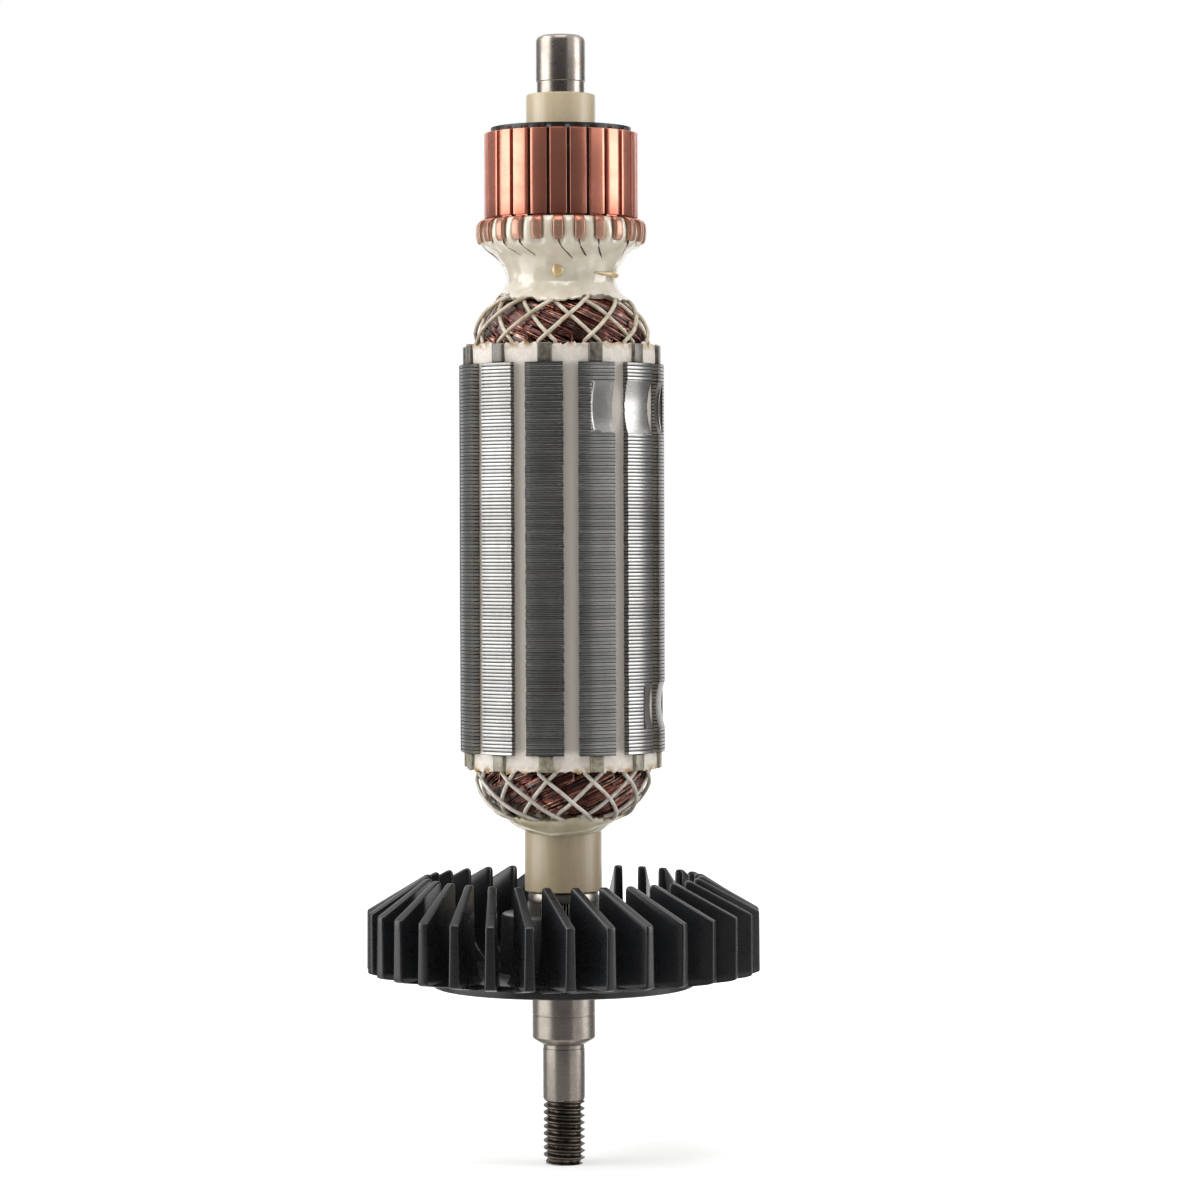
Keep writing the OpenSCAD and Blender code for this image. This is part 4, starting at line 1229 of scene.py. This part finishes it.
def fan_blade():
    """One blade at the front, from its foot up: it tapers for the mould and flares at its root."""
    length, flare, flare_h = 9.5, 4.2, 7
    tip_r = FAN_R - length
    base_z, inner_h, outer_h = 2.1, 16.1, 10.9
    base_t, top_t = 1.7, 1.15
    tip_round = 1.1
    levels = []
    for z in (0.95, base_z):
        levels.append((tip_r - flare, DISC_R - 0.6 if z < 1 else FAN_R - 0.8, z))
    for a in (75, 60, 45, 30, 15):
        inner = tip_r - flare + flare * math.cos(math.radians(a))
        levels.append((inner, FAN_R, base_z + flare_h * (1 - math.sin(math.radians(a)))))
    levels.append((tip_r, FAN_R, base_z + flare_h))
    levels.append((tip_r, FAN_R, outer_h - tip_round))

    def thick(height):
        return base_t + (top_t - base_t) * height / inner_h

    blade = start("fan_blade", bpy.ops.mesh.primitive_plane_add, size=1)
    inner, outer, z = levels[0]
    blade.scale = (thick(z) * MM, (outer - inner) * MM, 1)
    shift_piece(blade, (0, -(outer + inner) / 2, z))
    edit(blade, "SELECT")
    for next_inner, next_outer, next_z in levels[1:]:
        extrude((outer + inner - next_outer - next_inner) / 2, next_z - z)
        widen(
            thick(next_z) / thick(z), (next_outer - next_inner) / (outer - inner),
            (0, -(next_outer + next_inner) / 2, next_z)
        )
        inner, outer, z = next_inner, next_outer, next_z
    # the top slopes up from the outer edge to the inner tip
    extrude(0, outer_h - z)
    select_vertices(blade, lambda p: p.z > outer_h - 0.01 and -p.y < tip_r + 0.1)
    move(0, 0, inner_h - outer_h)
    widen(top_t / thick(outer_h), 1)
    # the mould rounds the inner tip
    select_vertices(blade, lambda p: p.z > inner_h - 0.01)
    bpy.ops.mesh.select_mode(type="EDGE")
    bpy.ops.mesh.bevel(offset=tip_round * MM, segments=5, affect="EDGES")
    bpy.ops.mesh.select_mode(type="VERT")
    leave_edit()
    face_outwards(blade)
    bevel_sharp(blade, 0.3, 3, 50)
    # it leans about its outer edge
    shift_piece(blade, (0, FAN_R, 0))
    turn_piece(blade, BLADE_LEAN)
    shift_piece(blade, (0, -FAN_R, 0))
    return blade


def bladed_fan():
    """The fan: swept blades round a disc with a hub, in one moulding."""
    blade = fan_blade()
    pieces = []
    for i in range(BLADES):
        pieces.append(turned_copy(blade, f"blade_{i:02d}", BLADE_TURN + i * 360 / BLADES))
    bpy.data.objects.remove(blade)
    disc = [
        [KNURL_R + 0.02, 0], [DISC_R - 0.4, 0], [DISC_R - 0.1, 0.12], [DISC_R, 0.4], [DISC_R, 1.5],
        [DISC_R - 0.1, 1.78], [DISC_R - 0.4, 1.9], [FAN_HUB_R + 0.9, 1.9], [FAN_HUB_R + 0.35, 2.1],
        [FAN_HUB_R + 0.1, 2.7], [FAN_HUB_R - 0.1, FAN_HUB_H - 0.5],
        [FAN_HUB_R - 0.25, FAN_HUB_H - 0.15], [FAN_HUB_R - 0.6, FAN_HUB_H], [KNURL_R + 0.5, FAN_HUB_H],
        [KNURL_R + 0.02, FAN_HUB_H - 0.4]
    ]
    pieces.append(turned("fan_disc", disc, 160, bored=True))
    fan = joined(pieces, "bladed_fan")
    smooth(fan)
    return fan


# ---- the whole armature ----


def build_armature():
    """Makes every piece, gives it its finish and fixes it to the shaft."""
    thread = oiled_thread_steel()
    bar = knurled_shaft(turned_steel(), knurled_steel(), thread)
    shaft = joined([bar, thread_ridge(thread)], "knurled_shaft")
    finish_piece(shaft, None, "shaft_steel", "shaft")
    finish_piece(insulating_sleeve(), sleeve_phenolic(), "sleeve_moulding", "insulating_sleeve")

    sheets = sheet_steel()
    milled = milled_steel()
    core = sheet_stack()
    core.data.materials.append(sheets)
    balance_cut(core, milled, turn=48, depth=0.8, z=82.2, width=15)
    balance_cut(core, milled, turn=77, depth=0.6, z=40.2, width=12)
    smooth(core, 25)
    finish_piece(core, None, "core_steel", "core")
    for side, light, dark in (("lower", "#a09a84", "#75705c"), ("upper", "#6f695d", "#45413a")):
        plate = end_plate(f"{side}_end_plate", f"fibre_plate_{side}")
        fibre = plate_fibre(f"{side}_plate_fibre", light, dark)
        finish_piece(plate, fibre, f"{side}_plate_fibre", f"{side}_end_plate")
    paper = slot_paper()
    for i, liner in enumerate(torn_liners()):
        finish_piece(liner, paper, "liner_paper", f"slot_liner_{i + 1:02d}")

    # painted shade: the coil bundles under the strands are near black, as the shade between the strands
    bundle = enamelled_copper("painted_shade_bundle", "#1f0c07", "#0c0503", "#2a1009")
    # the strands' pale glint tone is a painted highlight
    strand = enamelled_copper("magnet_wire", "#a84a30", "#3a140c", "#f2bda4")
    for i in range(SLOTS):
        node = bpy.data.objects[f"coil_{i + 1:02d}"]
        for slot in node.material_slots:
            slot.material = bundle
        for up in (1, -1):
            finish_piece(coil_strands(i + 1, up), strand, "coil_wire")
    aged = lacing_cord("aged_cord", "#ddd3c0", "#b5a78e")
    finish_piece(laced_cords(1), aged, "lacing_cord", "upper_lacing")
    clean = lacing_cord("clean_cord", "#e8e3da", "#c6bdaf")
    finish_piece(laced_cords(-1), clean, "lacing_cord", "lower_lacing")

    epoxy = impregnating_resin("neck_epoxy", "#e8e0d0", "#d0c5b0")
    finish_piece(neck_resin(), epoxy, "neck_resin", "neck_resin")
    epoxy = impregnating_resin("drip_epoxy", "#d8bf90", "#c0a068")
    finish_piece(resin_drips(), epoxy, "neck_resin")
    epoxy = impregnating_resin("cap_epoxy", "#ece2ca", "#d3c29c")
    finish_piece(lower_cap(), epoxy, "cap_resin", "lower_resin_cap")
    lead = enamelled_copper("lead_copper", "#6a3a2a", "#3a1a12", "#7a4634")
    finish_piece(lead_wires(), lead, "lead_wire", "lead_wires")

    hub = node_copy("commutator_hub", "phenolic_hub")
    smooth(hub)
    finish_piece(hub, moulded_phenolic(), "hub_phenolic", "commutator_hub")
    copper = commutator_copper()
    bar = commutator_bar()
    for i in range(BARS):
        copy = turned_copy(bar, f"copper_bar_{i + 1:02d}", BAR_TURN + i * BAR_PITCH)
        finish_piece(copy, copper, "bar_copper", f"commutator_bar_{i + 1:02d}")
    bpy.data.objects.remove(bar)
    finish_piece(bladed_fan(), fan_nylon(), "fan_nylon", "fan")


# ---- studio ----


def set_camera():
    camera = bpy.data.cameras.new("camera")
    camera.sensor_width = 36
    camera.lens = 123
    camera.clip_start = 0.01
    camera.shift_y = -0.0613
    place = bpy.data.objects.new("camera", camera)
    place.location = (0.0054, -0.585, 0.0655)
    place.rotation_euler = (math.radians(90), math.radians(0.2), 0)
    bpy.context.collection.objects.link(place)
    bpy.context.scene.camera = place


def softbox(name, turn, height, distance, size, power):
    """A rectangular area lamp aimed at the armature's middle."""
    light = bpy.data.lights.new(name, "AREA")
    light.shape = "RECTANGLE"
    light.size, light.size_y = size[0] * MM, size[1] * MM
    light.energy = power
    lamp = bpy.data.objects.new(name, light)
    place = Vector(at(distance, turn, height)) * MM
    lamp.location = place
    middle = Vector((0, 0, 60)) * MM
    lamp.rotation_euler = (middle - place).to_track_quat("-Z", "Y").to_euler()
    bpy.context.collection.objects.link(lamp)


def lit_paper(name, surface, near, far, near_tone, far_tone):
    """Paper that glows, from one tone near the armature to another one far from it."""
    material, add, place = new_material(name, {"Emission Color": "#ffffff", **surface})
    away = add("ShaderNodeVectorMath", {0: place}, "Value", operation="LENGTH")
    glow = add("ShaderNodeMapRange", {
        "Value": away, "From Min": near, "From Max": far, "To Min": near_tone, "To Max": far_tone
    })
    return material, add, glow


def card(name, tone, foot_tone, from_turn, to_turn, high=480):
    """A bent card round the armature, with its foot on the floor, that only bright metal mirrors."""
    low = cad_box[0][2] / MM + 0.5
    far, near = 1000, 8
    # a circle's points stand 3 degrees apart
    slack = 0.5
    ring = bpy.ops.mesh.primitive_circle_add
    screen = start(name, ring, vertices=120, radius=far * MM, location=(0, 0, low * MM))
    settle(screen)
    edit(screen)
    bpy.ops.mesh.select_mode(type="VERT")
    select_vertices(screen, lambda p: not from_turn - slack < turn_of(p) < to_turn + slack)
    bpy.ops.mesh.delete(type="VERT")
    bpy.ops.mesh.select_all(action="SELECT")
    extrude(0, high)
    select_vertices(screen, lambda p: p.z < low + 1)
    extrude(0, 0)
    widen(near / far, near / far, (0, 0, low))
    leave_edit()
    matt = {"Base Color": "#000000", "Specular IOR Level": 0}
    material, _, glow = lit_paper(name, matt, 0.2, 0.32, foot_tone, tone)
    screen.data.materials.append(finish_surface(material, {"Emission Strength": glow}))
    screen.visible_camera = False
    screen.visible_diffuse = False
    screen.visible_shadow = False
    screen.visible_transmission = False


def seen_directly(add):
    """1 where the eye, a mirror or glass looks, and 0 where light is only gathered."""
    eye = add("ShaderNodeLightPath", {}, "Is Camera Ray")
    mirror = eye.node.outputs["Is Glossy Ray"]
    glass = eye.node.outputs["Is Transmission Ray"]
    either = add("ShaderNodeMath", {0: eye, 1: mirror}, operation="MAXIMUM")
    return add("ShaderNodeMath", {0: either, 1: glass}, operation="MAXIMUM")


def paper_floor():
    """A floor that turns to plain white away from the armature, like a paper sweep."""
    low = (0, 0, cad_box[0][2])
    floor = start("studio_floor", bpy.ops.mesh.primitive_plane_add, size=6, location=low)
    settle(floor)
    matt = {"Base Color": "#e8e8e6", "Roughness": 0.9}
    material, add, glow = lit_paper("pale_floor", matt, 0.06, 0.3, 0.5, 0.8)
    glow = add("ShaderNodeMath", {0: seen_directly(add), 1: glow}, operation="MULTIPLY")
    floor.data.materials.append(finish_surface(material, {"Emission Strength": glow}))


def white_world():
    """White where it is seen, and dimmer where it lights the armature."""
    world = bpy.data.worlds.new("studio")
    bpy.context.scene.world = world
    world.use_nodes = True
    tree = world.node_tree
    add = functools.partial(add_node, tree)
    level = add("ShaderNodeMapRange", {"Value": seen_directly(add), "To Min": 0.42, "To Max": 1.0})
    fill(tree, tree.nodes["Background"], {"Color": "#ffffff", "Strength": level})


def studio():
    paper_floor()
    white_world()
    softbox("left_softbox", turn=-80, height=120, distance=700, size=(600, 1300), power=6.8)
    softbox("right_softbox", turn=87, height=140, distance=900, size=(440, 1100), power=5.0)
    softbox("top_softbox", turn=0, height=700, distance=250, size=(500, 500), power=2.4)
    # tone, tone at the foot, and the turns between which the card stands
    card("front_card", 0.08, 0.34, -50, 36, 1000)
    card("right_fill_card", 0.45, 0.8, 39, 63)
    card("right_gap_card", 0.3, 0.5, 66, 72)
    card("back_right_card", 0.2, 0.3, 102, 147)
    card("behind_card", 1.1, 1.1, 150, 180)
    card("behind_left_card", 1.0, 1.0, -180, -153)
    card("back_left_card", 0.28, 0.4, -150, -105)


build_armature()
studio()
set_camera()
bpy.context.scene.view_settings.view_transform = "Standard"
